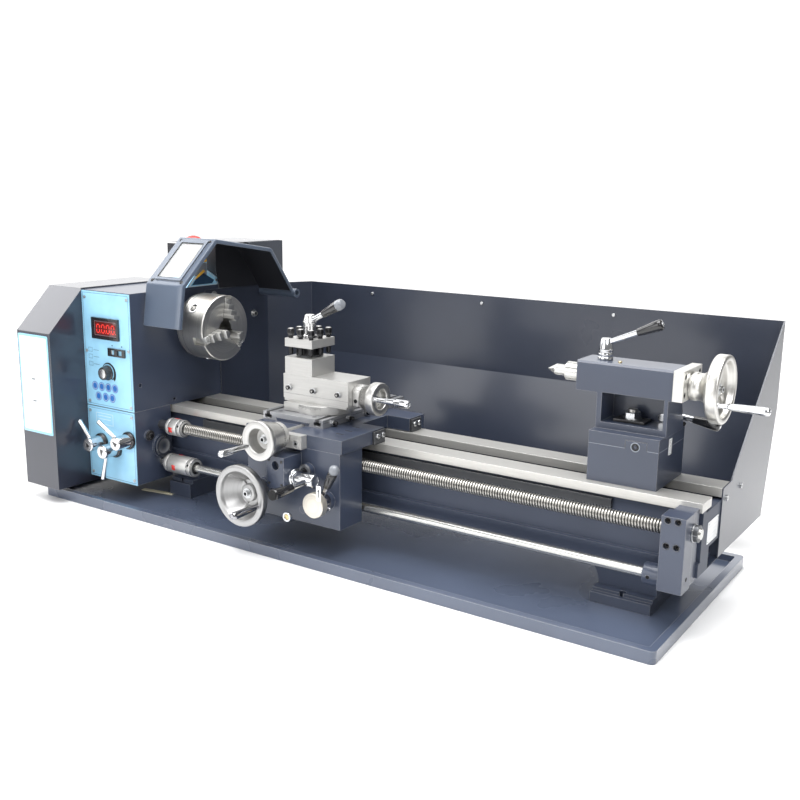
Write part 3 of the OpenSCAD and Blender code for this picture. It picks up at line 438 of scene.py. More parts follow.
class Piece:
    """Collects simple shapes, each with its own look, into one object that rides on a body."""

    def __init__(self, name):
        self.name = name
        self.bm = bmesh.new()
        self.looks = []

    def take(self, part, look):
        if look not in self.looks:
            self.looks.append(look)
        bmesh.ops.remove_doubles(part, verts=part.verts, dist=0.0005)
        bmesh.ops.recalc_face_normals(part, faces=part.faces)
        for face in part.faces:
            face.material_index = self.looks.index(look)
        mesh = bpy.data.meshes.new("part")
        part.to_mesh(mesh)
        part.free()
        self.bm.from_mesh(mesh)
        bpy.data.meshes.remove(mesh)
        return self

    def box(self, lo, hi, look, bevel=0.5, turn=None):
        part = bmesh.new()
        bmesh.ops.create_cube(part, size=1.0)
        lo, hi = Vector(lo), Vector(hi)
        size = hi - lo
        for v in part.verts:
            v.co = Vector(c * s for c, s in zip(v.co, size))
        if bevel:
            bmesh.ops.bevel(part, geom=part.edges[:], offset=min(bevel, min(size) * 0.4), segments=2,
                            profile=0.5, affect="EDGES")
        if turn is not None:
            bmesh.ops.transform(part, matrix=turn, verts=part.verts)
        bmesh.ops.translate(part, vec=(lo + hi) / 2, verts=part.verts)
        return self.take(part, look)

    def spin(self, axis, centre, profile, look, chamfer=0.4, steps=64):
        """Turns a profile of (radius, place along the axis) about a line; closed where a radius is 0."""
        part = bmesh.new()
        a, b = centre
        rings = []
        for radius, along in softened(profile, chamfer) if chamfer else profile:
            if radius < 1e-6:
                rings.append([part.verts.new(on_axis(axis, along, a, b))])
                continue
            rings.append([part.verts.new(on_axis(axis, along, a + radius * math.cos(t),
                                                 b + radius * math.sin(t)))
                          for t in (2 * math.pi * i / steps for i in range(steps))])
        skin(part, rings, steps)
        return self.take(part, look)

    def rod(self, p, q, r0, r1, look, chamfer=0.5, steps=32):
        """A round bar or cone between two points, with softened ends."""
        length = (Vector(q) - Vector(p)).length
        return self.bar(p, q, [(0, 0), (r0, 0), (r1, length), (0, length)], look, chamfer, steps)

    def bar(self, p, q, profile, look, chamfer=0.3, steps=36):
        """Turns a profile of (radius, distance from p) about the line from p to q."""
        p, q = Vector(p), Vector(q)
        part = bmesh.new()
        rings = []
        for radius, along in softened(profile, chamfer) if chamfer else profile:
            if radius < 1e-6:
                rings.append([part.verts.new((0, 0, along))])
                continue
            rings.append([part.verts.new((radius * math.cos(t), radius * math.sin(t), along))
                          for t in (2 * math.pi * i / steps for i in range(steps))])
        skin(part, rings, steps)
        turn = (q - p).to_track_quat("Z", "Y").to_matrix().to_4x4()
        bmesh.ops.transform(part, matrix=Matrix.Translation(p) @ turn, verts=part.verts)
        return self.take(part, look)

    def prism(self, axis, outline, start, stop, look, bevel=0.4):
        """An outline in the two other axes, pushed along one axis."""
        part = bmesh.new()
        base = [part.verts.new(on_axis(axis, start, a, b)) for a, b in outline]
        face = part.faces.new(base)
        pushed = bmesh.ops.extrude_face_region(part, geom=[face])
        moved = [v for v in pushed["geom"] if isinstance(v, bmesh.types.BMVert)]
        bmesh.ops.translate(part, vec=on_axis(axis, stop - start, 0, 0), verts=moved)
        if bevel:
            bmesh.ops.bevel(part, geom=part.edges[:], offset=bevel, segments=2, profile=0.5, affect="EDGES",
                            clamp_overlap=True)
        return self.take(part, look)

    def disc(self, axis, centre, radius, start, stop, look, chamfer=0.4, steps=64):
        """A plain disc or short cylinder between two places along an axis."""
        return self.spin(axis, centre, [(0, start), (radius, start), (radius, stop), (0, stop)], look, chamfer,
                         steps)

    def ring(self, axis, centre, inner, outer, start, stop, look, chamfer=0.4, steps=64):
        """A closed ring of rectangular section between two radii and two places along an axis."""
        section = [(inner, start), (outer, start), (outer, stop), (inner, stop), (inner, start)]
        return self.spin(axis, centre, section, look, chamfer, steps)

    def slab(self, axis, lo, hi, start, stop, look):
        """A sharp rectangle between two corners in the two other axes, pushed along one axis."""
        return self.prism(axis, [lo, (hi[0], lo[1]), hi, (lo[0], hi[1])], start, stop, look, 0)

    def ball(self, centre, radius, look):
        part = bmesh.new()
        bmesh.ops.create_uvsphere(part, u_segments=BALL_STEPS, v_segments=BALL_STEPS // 2, radius=radius)
        bmesh.ops.translate(part, vec=Vector(centre), verts=part.verts)
        return self.take(part, look)

    def socket_screw(self, axis, sign, centre, seat, r, h, look="zinc"):
        """A round head with a six-sided socket, standing on a seat and facing sign along an axis."""
        top = seat + sign * h
        inner = seat + sign * h * 0.45
        self.spin(axis, centre, [(r, seat), (r, top), (r * 0.56, top), (r * 0.5, inner), (0, inner)], look,
                  0.25, 36)
        # The near-black hexagon filling the socket is painted shade.
        return self.spin(axis, centre, [(r * 0.50, top - sign * 0.02), (r * 0.50, inner),
                                        (0, inner + sign * 0.02)], "hole", 0, 6)

    def hex_nut(self, axis, sign, centre, seat, r, h, look="zinc", bore=0.0):
        top = seat + sign * h
        self.spin(axis, centre, [(0, seat), (r, seat), (r, top - sign * h * 0.12), (r * 0.9, top), (bore, top)],
                  look, 0, 6)
        return self

    def done(self, body, slot, *replaced):
        mesh = bpy.data.meshes.new(self.name)
        bmesh.ops.scale(self.bm, vec=(MM, MM, MM), verts=self.bm.verts)
        self.bm.to_mesh(mesh)
        self.bm.free()
        for look in self.looks:
            mesh.materials.append(M[look])
        mesh.polygons.foreach_set("use_smooth", [True] * len(mesh.polygons))
        mesh.set_sharp_from_angle(angle=math.radians(SHARP_ANGLE))
        made = bpy.data.objects.new(self.name, mesh)
        bpy.context.scene.collection.objects.link(made)
        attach(made, body)
        if replaced:
            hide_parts(*replaced)
        return made


def toward(p, q, t):
    """The point a share t of the way from p to q."""
    return Vector(p).lerp(Vector(q), t)


# ---------------------------------------------------------------- shared shapes
def grip(piece, p, q, r0, r1, look="black", cap="chrome"):
    """A tapered hand grip with a rounded end, a collar and a bright end plug."""
    length = (Vector(q) - Vector(p)).length
    piece.bar(p, q, [(0, 0), (r0 * 0.9, 0), (r0, 1.5), (r1 * 0.96, length * 0.72), (r1, length * 0.88),
                     (r1 * 0.86, length * 0.97), (r1 * 0.5, length), (0, length)], look)
    if cap:
        piece.bar(toward(p, q, 0.985), toward(p, q, 1.015), [(0, 0), (r1 * 0.42, 0), (r1 * 0.36, length * 0.03),
                                                            (0, length * 0.035)], cap, 0.1)


def crank_handle(piece, p, q, r0, r1, look="chrome"):
    """A turning handle: neck, waisted barrel and a rounded end with a screw slot ring."""
    length = (Vector(q) - Vector(p)).length
    piece.bar(p, q, [(0, 0), (r0 * 0.75, 0), (r0 * 0.75, length * 0.05), (r0, length * 0.07),
                     (r0 * 1.05, length * 0.2), (r1 * 0.98, length * 0.75), (r1, length * 0.9),
                     (r1 * 0.9, length * 0.97), (r1 * 0.55, length), (r1 * 0.5, length - 1.2),
                     (0, length - 1.2)], look)


def helix_thread(piece, axis_y, axis_z, x0, x1, root, crest, pitch, look):
    """A true screw thread along X, as one closed surface between two end discs."""
    steps, cuts = 20, 4  # corners in a turn, and slices in a pitch
    part = bmesh.new()
    count = int((x1 - x0) / pitch * cuts)
    rings = []
    for i in range(count + 1):
        ring = []
        for k in range(steps):
            turn = k / steps
            x = x0 + (i / cuts) * pitch
            phase = (i / cuts - turn) % 1.0
            height = 1.0 - abs(2.0 * phase - 1.0)
            height = min(1.0, max(0.0, height * 1.6 - 0.3))
            radius = root if i in (0, count) else root + (crest - root) * height
            t = 2 * math.pi * turn
            ring.append(part.verts.new((x, axis_y + radius * math.cos(t), axis_z + radius * math.sin(t))))
        rings.append(ring)
    for one, two in zip(rings, rings[1:]):
        for k in range(steps):
            part.faces.new((one[k], one[(k + 1) % steps], two[(k + 1) % steps], two[k]))
    part.faces.new(rings[0])
    part.faces.new(rings[-1])
    return piece.take(part, look)


def graduations(piece, axis, centre, first, sign, count, lengths, flare, width):
    """Lines around a drum, every fifth one longer, from a (place, radius); flare is the drum's slope."""
    place, radius = first
    for i in range(count):
        turn = 2 * math.pi * i / count
        length = lengths[0] if i % 5 == 0 else lengths[1]
        ends = [on_axis(axis, place + sign * run, centre[0] + r * math.cos(turn),
                        centre[1] + r * math.sin(turn)) for run, r in ((0, radius),
                                                                       (length, radius + length * flare))]
        piece.rod(*ends, width, width, "hole", 0, 6)


def framed(piece, axis, sign, place, lo, hi, width, depth, look):
    """A thin rectangular line frame lying on a face: lo and hi are corners in the two other axes."""
    (a0, b0), (a1, b1) = lo, hi
    front = place + sign * depth
    for (p0, q0), (p1, q1) in (((a0, b0), (a1, b0 + width)), ((a0, b1 - width), (a1, b1)),
                               ((a0, b0 + width), (a0 + width, b1 - width)),
                               ((a1 - width, b0 + width), (a1, b1 - width))):
        piece.slab(axis, (p0, q0), (p1, q1), place, front, look)


def arc_points(cx, cy, radius, start, stop, count):
    """Points along an arc, from start to stop in degrees."""
    return [(cx + radius * math.cos(math.radians(start + (stop - start) * i / count)),
             cy + radius * math.sin(math.radians(start + (stop - start) * i / count)))
            for i in range(count + 1)]


def rounded_outline(x0, x1, y0, y1, r):
    corners = ((x1 - r, y1 - r, 0), (x0 + r, y1 - r, 90), (x0 + r, y0 + r, 180), (x1 - r, y0 + r, 270))
    return [p for x, y, start in corners for p in arc_points(x, y, r, start, start + 90, ARC_STEPS)]


# ---------------------------------------------------------------- shafts
def shafts():
    """Leadscrew thread, couplings, collar, end nuts, and the round ports in the gearbox's side."""
    screw, feed = pivot("leadscrew_spin"), pivot("feed_rod_spin")
    gearbox_right = high("gearbox").x
    bracket_left, bracket_right = low("end_bracket").x, high("end_bracket").x

    thread = Piece("leadscrew_thread")
    helix_thread(thread, screw.y, screw.z, -344.5, bracket_left - 1, 9.05, 10.2, 4.5, "thread")
    thread.done("leadscrew", "ground_steel")

    def coupling(name, body, centre, x0, x1, radius, tag_length):
        """A sleeve with grooves, pinch rings, set screws and red marks sunk in its side."""
        piece = Piece(name)
        piece.spin("x", centre, [(0, x0), (radius * 0.8, x0), (radius, x0 + 3), (radius, x0 + 9),
                                 (radius - 0.8, x0 + 9.6), (radius - 0.8, x0 + 11), (radius, x0 + 11.6),
                                 (radius, x1 - 12), (radius - 0.8, x1 - 11.4), (radius - 0.8, x1 - 10),
                                 (radius, x1 - 9.4), (radius, x1 - 2), (radius * 0.9, x1), (0, x1)], "cast",
                   0.3, 64)
        # Near-black disc at the sleeve's end is painted shade in its bore.
        piece.disc("x", centre, radius * 0.66, x1 - 0.2, x1 + 0.15, "hole", 0, 48)
        middle = x0 + (x1 - x0) * 0.40
        for angle in (8, 128, 248):
            turn = Matrix.Rotation(math.radians(angle), 4, "X")
            out = turn @ Vector((0, -(radius - 1.6), 0))
            lo = Vector((middle - tag_length / 2, centre[0] - 2, centre[1] - 5)) + out
            hi = Vector((middle + tag_length / 2, centre[0] + 2, centre[1] + 5)) + out
            piece.box(lo, hi, "red", 0.9, turn)
        for angle in (95, 215, 335):
            turn = math.radians(angle)
            side = Vector((0, -math.cos(turn), -math.sin(turn)))
            seat = Vector((x1 - 6, centre[0], centre[1])) + side * (radius - 1.2)
            piece.rod(seat, seat + side * 1.6, 2.4, 2.4, "hole", 0.2, 20)
        piece.done(body, "zinc_steel")

    coupling("leadscrew_coupling", "leadscrew", (screw.y, screw.z), -387.2, -345.8, 16.4, 9)
    coupling("feed_coupling", "feed_rod", (feed.y, feed.z), -393.2, -321.8, 17.9, 9)

    collar = Piece("feed_rod_collar")
    collar.spin("x", (feed.y, feed.z), [(0, 557.6), (15.6, 557.6), (16.2, 558.4), (16.2, 586.4), (0, 586.4)],
                "casting", 0.3)
    collar.rod((567, feed.y - 14.9, feed.z), (567, feed.y - 16.4, feed.z), 2.8, 2.8, "hole", 0.2, 20)
    collar.done("feed_rod", "zinc_steel")

    nut = Piece("leadscrew_end_nuts")
    nut.disc("x", (screw.y, screw.z), 13, bracket_right + 0.2, bracket_right + 2.4, "zinc", 0.3)
    nut.hex_nut("x", 1, (screw.y, screw.z), bracket_right + 2.4, 12.2, 6, "zinc", 0)
    nut.spin("x", (screw.y, screw.z), [(0, bracket_right + 8), (8.2, bracket_right + 8),
                                       (7.6, bracket_right + 11.5), (0, bracket_right + 11.5)], "rod", 0.4)
    nut.done("leadscrew", "zinc_steel")

    ports = Piece("gearbox_ports")
    ports.spin("x", (-129.8, 135.8), [(0, gearbox_right), (9.7, gearbox_right), (9.7, gearbox_right + 3.2),
                                      (8.6, gearbox_right + 4.3), (0, gearbox_right + 4.3)], "black_steel", 0.3,
               48)
    ports.hex_nut("x", 1, (-129.8, 135.8), gearbox_right + 4.2, 5.4, 3.4, "black_steel")
    ports.spin("x", (-98.4, 109.4), [(0, gearbox_right + 3.9), (20.6, gearbox_right + 3.9),
                                     (19.6, gearbox_right + 5), (15, gearbox_right + 5),
                                     (14.2, gearbox_right + 4.2), (0, gearbox_right + 4.2)], "dark", 0.3, 64)
    for angle in (200, 320, 80):
        spot = (-98.4 + 17.6 * math.cos(math.radians(angle)), 109.4 + 17.6 * math.sin(math.radians(angle)))
        ports.socket_screw("x", 1, spot, gearbox_right + 4.6, 1.7, 1.4, "black_steel")
    ports.done("frame", "dark_steel")


# ---------------------------------------------------------------- handwheels and their handles
def spoked_wheel():
    """Carriage handwheel: flat rim, three ridged spokes over deep pockets, screwed hub, chrome handle."""
    at = pivot("carriage_wheel_turn")
    centre = (at.x, at.z)
    r = (high("carriage_handwheel").x - low("carriage_handwheel").x) / 2
    face, deep = -235.0, -205.0
    p = Piece("carriage_handwheel_detail")
    p.spin("y", centre, [(0, -151), (8, -151), (8, -176.4), (14, -176.4), (14, -186), (18, -191), (26, -200),
                         (r - 12, -214), (r - 5, -218), (r - 0.4, -222.5), (r, -226), (r, -233.4),
                         (r - 1.5, face), (r - 9.4, face), (r - 10.6, face + 1.4), (r - 12.4, -229),
                         (22, deep - 0.6), (18, deep), (15.6, deep), (15, deep - 1), (15, deep - 7),
                         (13.6, deep - 8.4), (0, deep - 8.4)], "wheel_y", 0.8, 96)
    for angle in (10, 130, 250):
        turn = math.radians(angle)
        side = Vector((math.cos(turn), 0, math.sin(turn)))
        wide = Vector((-math.sin(turn), 0, math.cos(turn)))
        spoke = bmesh.new()
        ring = []
        for along, half, base_y, lift in ((13.0, 3.4, deep + 1, 4.0), (22.0, 3.0, deep + 1, 3.6),
                                          (r - 12.2, 4.6, -227, 3.4)):
            base = Vector((at.x, 0, at.z)) + side * along
            ring.append([spoke.verts.new(base + wide * s * half + Vector((0, y, 0)))
                         for s, y in ((-1.0, base_y), (-0.6, base_y - lift), (0.6, base_y - lift),
                                      (1.0, base_y))])
        for one, two in zip(ring, ring[1:]):
            for i in range(4):
                spoke.faces.new((one[i], one[(i + 1) % 4], two[(i + 1) % 4], two[i]))
        spoke.faces.new(ring[0])
        spoke.faces.new(ring[-1])
        p.take(spoke, "wheel_y")
    p.disc("y", centre, 9, deep - 8.2, deep - 9.8, "zinc", 0.3, 48)
    p.socket_screw("y", -1, centre, deep - 9.8, 5.2, 5)
    crank_handle(p, (-43, face + 1, 94), (-43, -296, 94), 4.9, 6.6, "dark_chrome")
    p.done("carriage_handwheel", "cast_aluminium", "carriage_handwheel")


def cup_wheel():
    """Cross slide handwheel: deep cup with a flat ring face, long graduated drum and a chrome handle."""
    at = pivot("cross_wheel_turn")
    centre = (at.x, at.z)
    r = (high("cross_handwheel").x - low("cross_handwheel").x) / 2
    p = Piece("cross_handwheel_detail")
    p.spin("y", centre, [(0, 55), (6, 55), (6, -190.3), (21.6, -190.3), (23, -193), (27.4, -209), (29.6, -220),
                         (30.4, -224.6), (r - 1, -226), (r, -227.4), (r, -234.8), (r - 1.2, -236), (21.4, -236),
                         (20, -234.6), (18.4, -216), (17.2, -214.6), (9.6, -214.6), (9.6, -217.6), (0, -217.6)],
           "cup_y", 0.7, 96)
    p.disc("y", centre, 8.4, -217.4, -219.6, "zinc", 0.3, 48)
    p.socket_screw("y", -1, centre, -219.6, 5.0, 5.5)
    graduations(p, "y", centre, (-193.6, 23.25), -1, 40, (5.0, 3.0), 0.275, 0.28)
    crank_handle(p, (-61, -234.8, 193.5), (-61, -300, 193.5), 4.2, 5.9, "chrome")
    p.done("cross_handwheel", "cast_aluminium", "cross_handwheel")


def compound_wheel():
    """Top slide handwheel: short graduated drum, dished rim and a long chrome handle."""
    at = pivot("compound_wheel_turn")
    centre = (at.y, at.z)
    x0 = low("compound_handwheel").x
    r = 28.0
    p = Piece("compound_handwheel_detail")
    p.spin("x", centre, [(0, x0), (4.5, x0), (4.5, 45.3), (19.5, 45.3), (20.5, 47), (21.5, 50), (25.5, 61),
                         (r - 0.6, 62.4), (r, 64), (r, 76.8), (r - 1.2, 78), (r - 10.6, 78), (r - 11.8, 76.6),
                         (r - 12.4, 66), (0, 66)], "cup_x", 0.6, 96)
    p.disc("x", centre, 6.4, 66.1, 67.6, "zinc", 0.2, 40)
    p.socket_screw("x", 1, centre, 67.6, 4.3, 4.6)
    graduations(p, "x", centre, (51, 22.0), 1, 30, (4.5, 2.6), 0.363, 0.26)
    p.rod((66, -80, 261), (84, -80, 261), 4.2, 4.2, "chrome")
    p.bar((83, -80, 261), (147, -80, 261), [(0, 0), (3.6, 0), (4.4, 2), (5.2, 34), (5.3, 37), (6.6, 38.6),
                                            (6.8, 58), (6.0, 62.6), (3.0, 64), (2.8, 62.6), (0, 62.6)],
          "chrome")
    p.done("compound_handwheel", "cast_aluminium", "compound_handwheel")


def tailstock_wheel():
    """Tailstock handwheel: stepped hub, bell-shaped rim with three ribs and a chrome handle."""
    at = pivot("tailstock_wheel_turn")
    centre = (at.y, at.z)
    r = 49.5
    p = Piece("tailstock_handwheel_detail")
    p.spin("x", centre, [(0, 475), (7.5, 475), (7.5, 575.3), (20.5, 575.3), (20.8, 577), (20.8, 583),
                         (19.6, 584.5), (20.0, 591), (23.5, 596.5), (31, 601), (40, 604.5), (r - 2.6, 606),
                         (r, 608.4), (r, 622.6), (r - 1.6, 624.4), (r - 7.4, 624.4), (r - 9, 622.6),
                         (r - 10, 615), (r - 13, 612.4), (30, 611), (16, 606.5), (13, 608), (12, 613),
                         (0, 613)], "wheel_x", 0.8, 96)
    p.disc("x", centre, 8, 613, 614.6, "zinc", 0.3, 40)
    p.socket_screw("x", 1, centre, 614.6, 4.6, 4.6)
    for angle in (80, 200, 320):
        turn = Matrix.Rotation(math.radians(angle), 4, "X")
        lift = turn @ Vector((0, 26, 0))
        p.box(Vector((602, at.y - 13, at.z - 4.4)) + lift, Vector((614.5, at.y + 13, at.z + 4.4)) + lift,
              "wheel_x", 2.0, turn)
    p.rod((616, -38, 318), (637, -38, 318), 4.0, 4.0, "chrome")
    crank_handle(p, (634, -38, 318), (694, -38, 318), 4.8, 6.2, "chrome")
    p.done("tailstock_handwheel", "polished_aluminium", "tailstock_handwheel")


# ---------------------------------------------------------------- levers
def feed_lever():
    """Feed lever: chrome cross bar with a collar, and an angled rod with a black grip."""
    at = pivot("feed_lever_turn")
    centre = (at.y, at.z)
    p = Piece("feed_lever_detail")
    p.spin("x", centre, [(0, -28), (6, -28), (6, -6.6), (14.6, -6.6), (15, -5), (15, -1.4), (14, 0),
                         (11.6, 0.4), (11.6, 5), (12, 5.6), (12, 37.6), (11, 39.6), (7.6, 40), (7.2, 39),
                         (0, 39)], "chrome", 0.5, 64)
    p.rod((28, -194, 139.4), (26.2, -236, 138.2), 5.0, 4.6, "chrome")
    grip(p, (26.2, -231, 138.3), (25.4, -278, 137.4), 6.8, 9.0, "black", None)
    p.bar((25.5, -275.5, 137.5), (25.4, -279, 137.4), [(0, 0), (8.4, 0), (8.0, 3.2), (0, 3.2)], "hole", 0.2)
    p.done("feed_lever", "chrome", "feed_lever")


def half_nut_lever():
    """Half nut lever: flat faced disc on a dark boss, and a rod with a black grip and a glossy ball."""
    at = pivot("half_nut_lever_turn")
    centre = (at.x, at.z)
    p = Piece("half_nut_lever_detail")
    p.spin("y", centre, [(0, -151), (7, -151), (7, -176.4), (16, -176.4), (16.6, -178), (16.6, -193),
                         (0, -193)], "dark_chrome", 0.6, 64)
    p.spin("y", centre, [(0, -192.6), (20.2, -192.6), (20.6, -193.4), (20.6, -204.8), (19.6, -206), (0, -206)],
           "disc_y", 0.4, 80)
    p.rod((at.x + 13.5, -184, at.z - 6), (at.x + 20, -184, at.z - 8), 2.4, 2.4, "chrome")
    root, ball = Vector((50, -184, 114)), Vector((77, -188, 165))
    p.rod(root, toward(root, ball, 0.56), 4.4, 4.8, "dark_chrome")
    grip(p, toward(root, ball, 0.38), toward(root, ball, 0.90), 6.4, 8.2, "black", None)
    p.ball(ball, 8.9, "ball_grey")
    p.done("half_nut_lever", "chrome", "half_nut_lever")


def tool_post_lever():
    """Tool post lever: necked hub, sloping rod, black grip and a grey end knob."""
    at = pivot("tool_post_lever_turn")
    centre = (at.x, at.y)
    p = Piece("tool_post_lever_detail")
    p.spin("z", centre, [(8.1, 347.3), (14.4, 347.3), (14.4, 350.4), (13.4, 351.8), (11, 352.4), (11, 371),
                         (11.6, 371.8), (11.6, 374), (11, 375), (8.4, 385.4), (6.8, 386.6), (0, 386.6),
                         (0, 362), (8.1, 362), (8.1, 347.3)], "polished", 0.4, 64)
    root, tip = Vector((at.x, at.y, 374)), Vector((-4, -63, 410))
    p.rod(toward(root, tip, 0.06), toward(root, tip, 0.5), 4.6, 5.2, "chrome")
    p.bar(toward(root, tip, 0.44), toward(root, tip, 0.92), [(0, 0), (6.0, 0), (6.6, 2), (8.8, 30), (9.2, 36),
                                                             (0, 38)], "black")
    p.bar(toward(root, tip, 0.90), toward(root, tip, 1.06), [(0, 0), (9.2, 0), (9.4, 4), (8.8, 9.5),
                                                             (6.6, 12.4), (0, 13)], "ball_grey")
    p.done("tool_post_lever", "chrome", "tool_post_lever")


def tailstock_levers():
    """Quill lock and base lock: chrome hubs, rods and black grips."""
    at = pivot("quill_lock_turn")
    centre = (at.x, at.y)
    base = 348.2
    p = Piece("quill_lock_lever_detail")
    p.spin("z", centre, [(0, base), (6, base), (6, 357.2), (11.4, 357.2), (11.6, 358.4), (11.2, 361),
                         (10.4, 361.6), (10.4, 363), (11, 363.6), (11, 366), (10.4, 366.6), (10.4, 370),
                         (10.8, 371), (10.6, 374), (7.6, 388), (6.4, 389), (0, 389)], "chrome", 0.4, 64)
    root, tip = Vector((at.x + 4, at.y, 383)), Vector((526, 0, 417))
    p.rod(root, toward(root, tip, 0.6), 4.0, 4.6, "chrome")
    grip(p, toward(root, tip, 0.54), tip, 5.8, 8.4)
    p.done("quill_lock_lever", "chrome", "quill_lock_lever")

    at = pivot("base_lock_turn")
    q = Piece("base_lock_lever_detail")
    q.spin("y", (at.x, at.z), [(0, 19), (6, 19), (6, 46.6), (11, 46.6), (11.2, 48), (11.2, 58.6), (10, 60),
                               (0, 60)], "chrome", 0.5, 56)
    start, stop = Vector((530, 53, 276)), Vector((606, 49, 268))
    q.rod(start, toward(start, stop, 0.55), 4.4, 4.8, "chrome")
    grip(q, toward(start, stop, 0.46), stop, 6.0, 8.8)
    q.done("base_lock_lever", "chrome", "base_lock_lever")


def gearbox_levers():
    """Three change levers: chrome hubs with flat pointer faces on black rings, and flat ended rods."""
    panel = low("front_panels").y
    tips = ((-532.6, 158.6), (-477.9, 164.6), (-472.7, 52.1))
    for number, (tip_x, tip_z) in enumerate(tips, 1):
        at = pivot(f"gearbox_lever_{number}_turn")
        centre = (at.x, at.z)
        p = Piece(f"gearbox_lever_{number}_detail")
        p.spin("y", centre, [(0, panel - 0.2), (17, panel - 0.2), (17, -166), (15.6, -168), (13.6, -168.6),
                             (13.6, -170), (0, -170)], "black", 0.4, 64)
        p.spin("y", centre, [(0, -169), (13.2, -169), (13.2, -195.4), (12, -197), (0, -197)], "chrome", 0.5, 64)
        p.spin("y", centre, [(11.2, -196.9), (11.4, -197.25), (0, -197.25)], "mirror", 0, 64)
        aim = Vector((tip_x - at.x, 0, tip_z - at.z)).normalized()
        wide = Vector((-aim.z, 0, aim.x))
        mark = [Vector((at.x, 0, at.z)) + aim * a + wide * b for a, b in ((8.5, 0), (-5, 4.6), (-5, -4.6))]
        p.prism("y", [(m.x, m.z) for m in mark], -197.1, -197.6, "black", 0)
        root = Vector((at.x, -184, at.z)) + aim * 8
        tip = Vector((tip_x, -190, tip_z))
        p.bar(root, tip, [(0, 0), (4.2, 0), (4.0, 10), (4.7, (tip - root).length - 1.2),
                          (3.9, (tip - root).length), (0, (tip - root).length)], "chrome")
        p.done(f"gearbox_lever_{number}", "chrome", f"gearbox_lever_{number}")


# ---------------------------------------------------------------- front panels
def digit(piece, x, z, face, height, segments, look):
    """One seven-segment figure, drawn with bars; segments runs a to g."""
    w, t = height * 0.52, height * 0.13
    half = height / 2
    bars = {"a": (0, height, w, 0), "b": (w, half, 0, 1), "c": (w, 0, 0, 1), "d": (0, 0, w, 0),
            "e": (0, 0, 0, 1), "f": (0, half, 0, 1), "g": (0, half, w, 0)}
    for name in segments:
        dx, dz, run, upright = bars[name]
        if upright:
            lo, hi = (x + dx - t / 2, z + dz + t * 0.6), (x + dx + t / 2, z + dz + half - t * 0.6)
        else:
            lo, hi = (x + dx + t * 0.6, z + dz - t / 2), (x + dx + run - t * 0.6, z + dz + t / 2)
        piece.slab("y", lo, hi, face, face - 0.3, look)


def panel_print():
    """Printed borders, blue discs and speed scale, switch marks, display window and the fluted speed knob."""
    face = low("front_panels").y
    x0, x1 = low("front_panels").x, high("front_panels").x
    p = Piece("panel_print")
    framed(p, "y", -1, face, (x0 + 3, 188), (x1 - 3, 401), 0.7, 0.15, "panel_line")
    framed(p, "y", -1, face, (x0 + 3, 46), (x1 - 3, 180), 0.7, 0.15, "panel_line")
    for z, row in ((224, (-515.6, -497, -478.4, -460)), (204.5, (-507, -487, -468.6))):
        for x in row:
            p.disc("y", (x, z), 8.4, face, face - 0.2, "blue", 0, 40)
            p.spin("y", (x, z), [(6.2, face - 0.2), (6.2, face - 0.3), (6.8, face - 0.3), (6.8, face - 0.2)],
                   "panel_white", 0, 40)
    knob = pivot("speed_knob_turn")
    outer = [(knob.x + (17.5 + 5.5 * i / 24) * math.cos(math.radians(150 - 190 * i / 24)),
              knob.z + (17.5 + 5.5 * i / 24) * math.sin(math.radians(150 - 190 * i / 24))) for i in range(25)]
    inner = arc_points(knob.x, knob.z, 16.5, -40, 150, 24)
    p.prism("y", outer + inner, face, face - 0.2, "hole", 0)
    for z in (266, 280, 293):
        framed(p, "y", -1, face, (-529, z - 4), (-518, z + 4), 0.6, 0.15, "panel_line")
        p.slab("y", (-515, z - 0.4), (-500, z + 0.4), face, face - 0.15, "panel_line")
    for x in (-462, -436):
        p.disc("y", (x, 306), 1.6, face, face - 0.2, "panel_line", 0, 20)
    framed(p, "y", -1, face, (-517, 150), (-470, 172), 0.5, 0.15, "panel_white")
    for level in (160, 166):
        p.slab("y", (-513, level), (-476, level + 0.6), face, face - 0.15, "panel_white")
    p.done("frame", "blue_panel")

    marks = Piece("switch_marks")
    strip = low("speed_display").y
    for x in (-464.4, -433.6):
        marks.slab("y", (x - 2.4, 290), (x + 2.4, 297), strip + 4.2, strip + 3.7, "panel_white")
    marks.done("frame", "black_plastic")

    q = Piece("display_window")
    q.box((-507.6, face - 1.7, 321.4), (-445.4, face - 0.6, 350.6), "led_off", 0.2)
    for i in range(4):
        digit(q, -500.5 + 13.4 * i, 328, face - 1.7, 15, "abcdef", "led")
        q.disc("y", (-489.6 + 13.4 * i, 328), 0.9, face - 1.7, face - 2, "led", 0, 12)
    framed(q, "y", -1, face - 1.8, (-506.5, 322.5), (-446.5, 349.5), 0.8, 0.2, "plate_grey")
    q.done("frame", "red_plastic")

    r = Piece("speed_knob_detail")
    flutes = 24
    r.spin("y", (knob.x, knob.z), [(0, face - 0.3), (14.4, face - 0.3), (14.4, face - 3), (12.6, face - 4),
                                   (11.8, face - 13), (10.6, face - 14.6), (8.4, face - 14.6)], "black", 0.3,
           72)
    for i in range(flutes):
        turn = 2 * math.pi * i / flutes
        side = Vector((math.cos(turn), 0, math.sin(turn)))
        base = Vector((knob.x, face - 3.6, knob.z))
        r.rod(base + side * 12.2, base + side * 11.3 + Vector((0, -10.4, 0)), 0.9, 0.8, "black", 0.2, 8)
    r.spin("y", (knob.x, knob.z), [(0, face - 13.8), (9, face - 13.8), (9, face - 14.8), (8.2, face - 15.2),
                                   (0, face - 15.2)], "polished", 0.2, 56)
    r.rod((knob.x, -162, knob.z), (knob.x, -160.2, knob.z), 4.95, 4.95, "black", 0.2)
    pointer = Vector((math.cos(math.radians(-40)), 0, math.sin(math.radians(-40))))
    r.rod(Vector((knob.x, face - 1.8, knob.z)) + pointer * 13.6,
          Vector((knob.x, face - 1.8, knob.z)) + pointer * 18.5, 1.6, 0.5, "black", 0.2, 12)
    r.done("speed_knob", "black_plastic", "speed_knob")


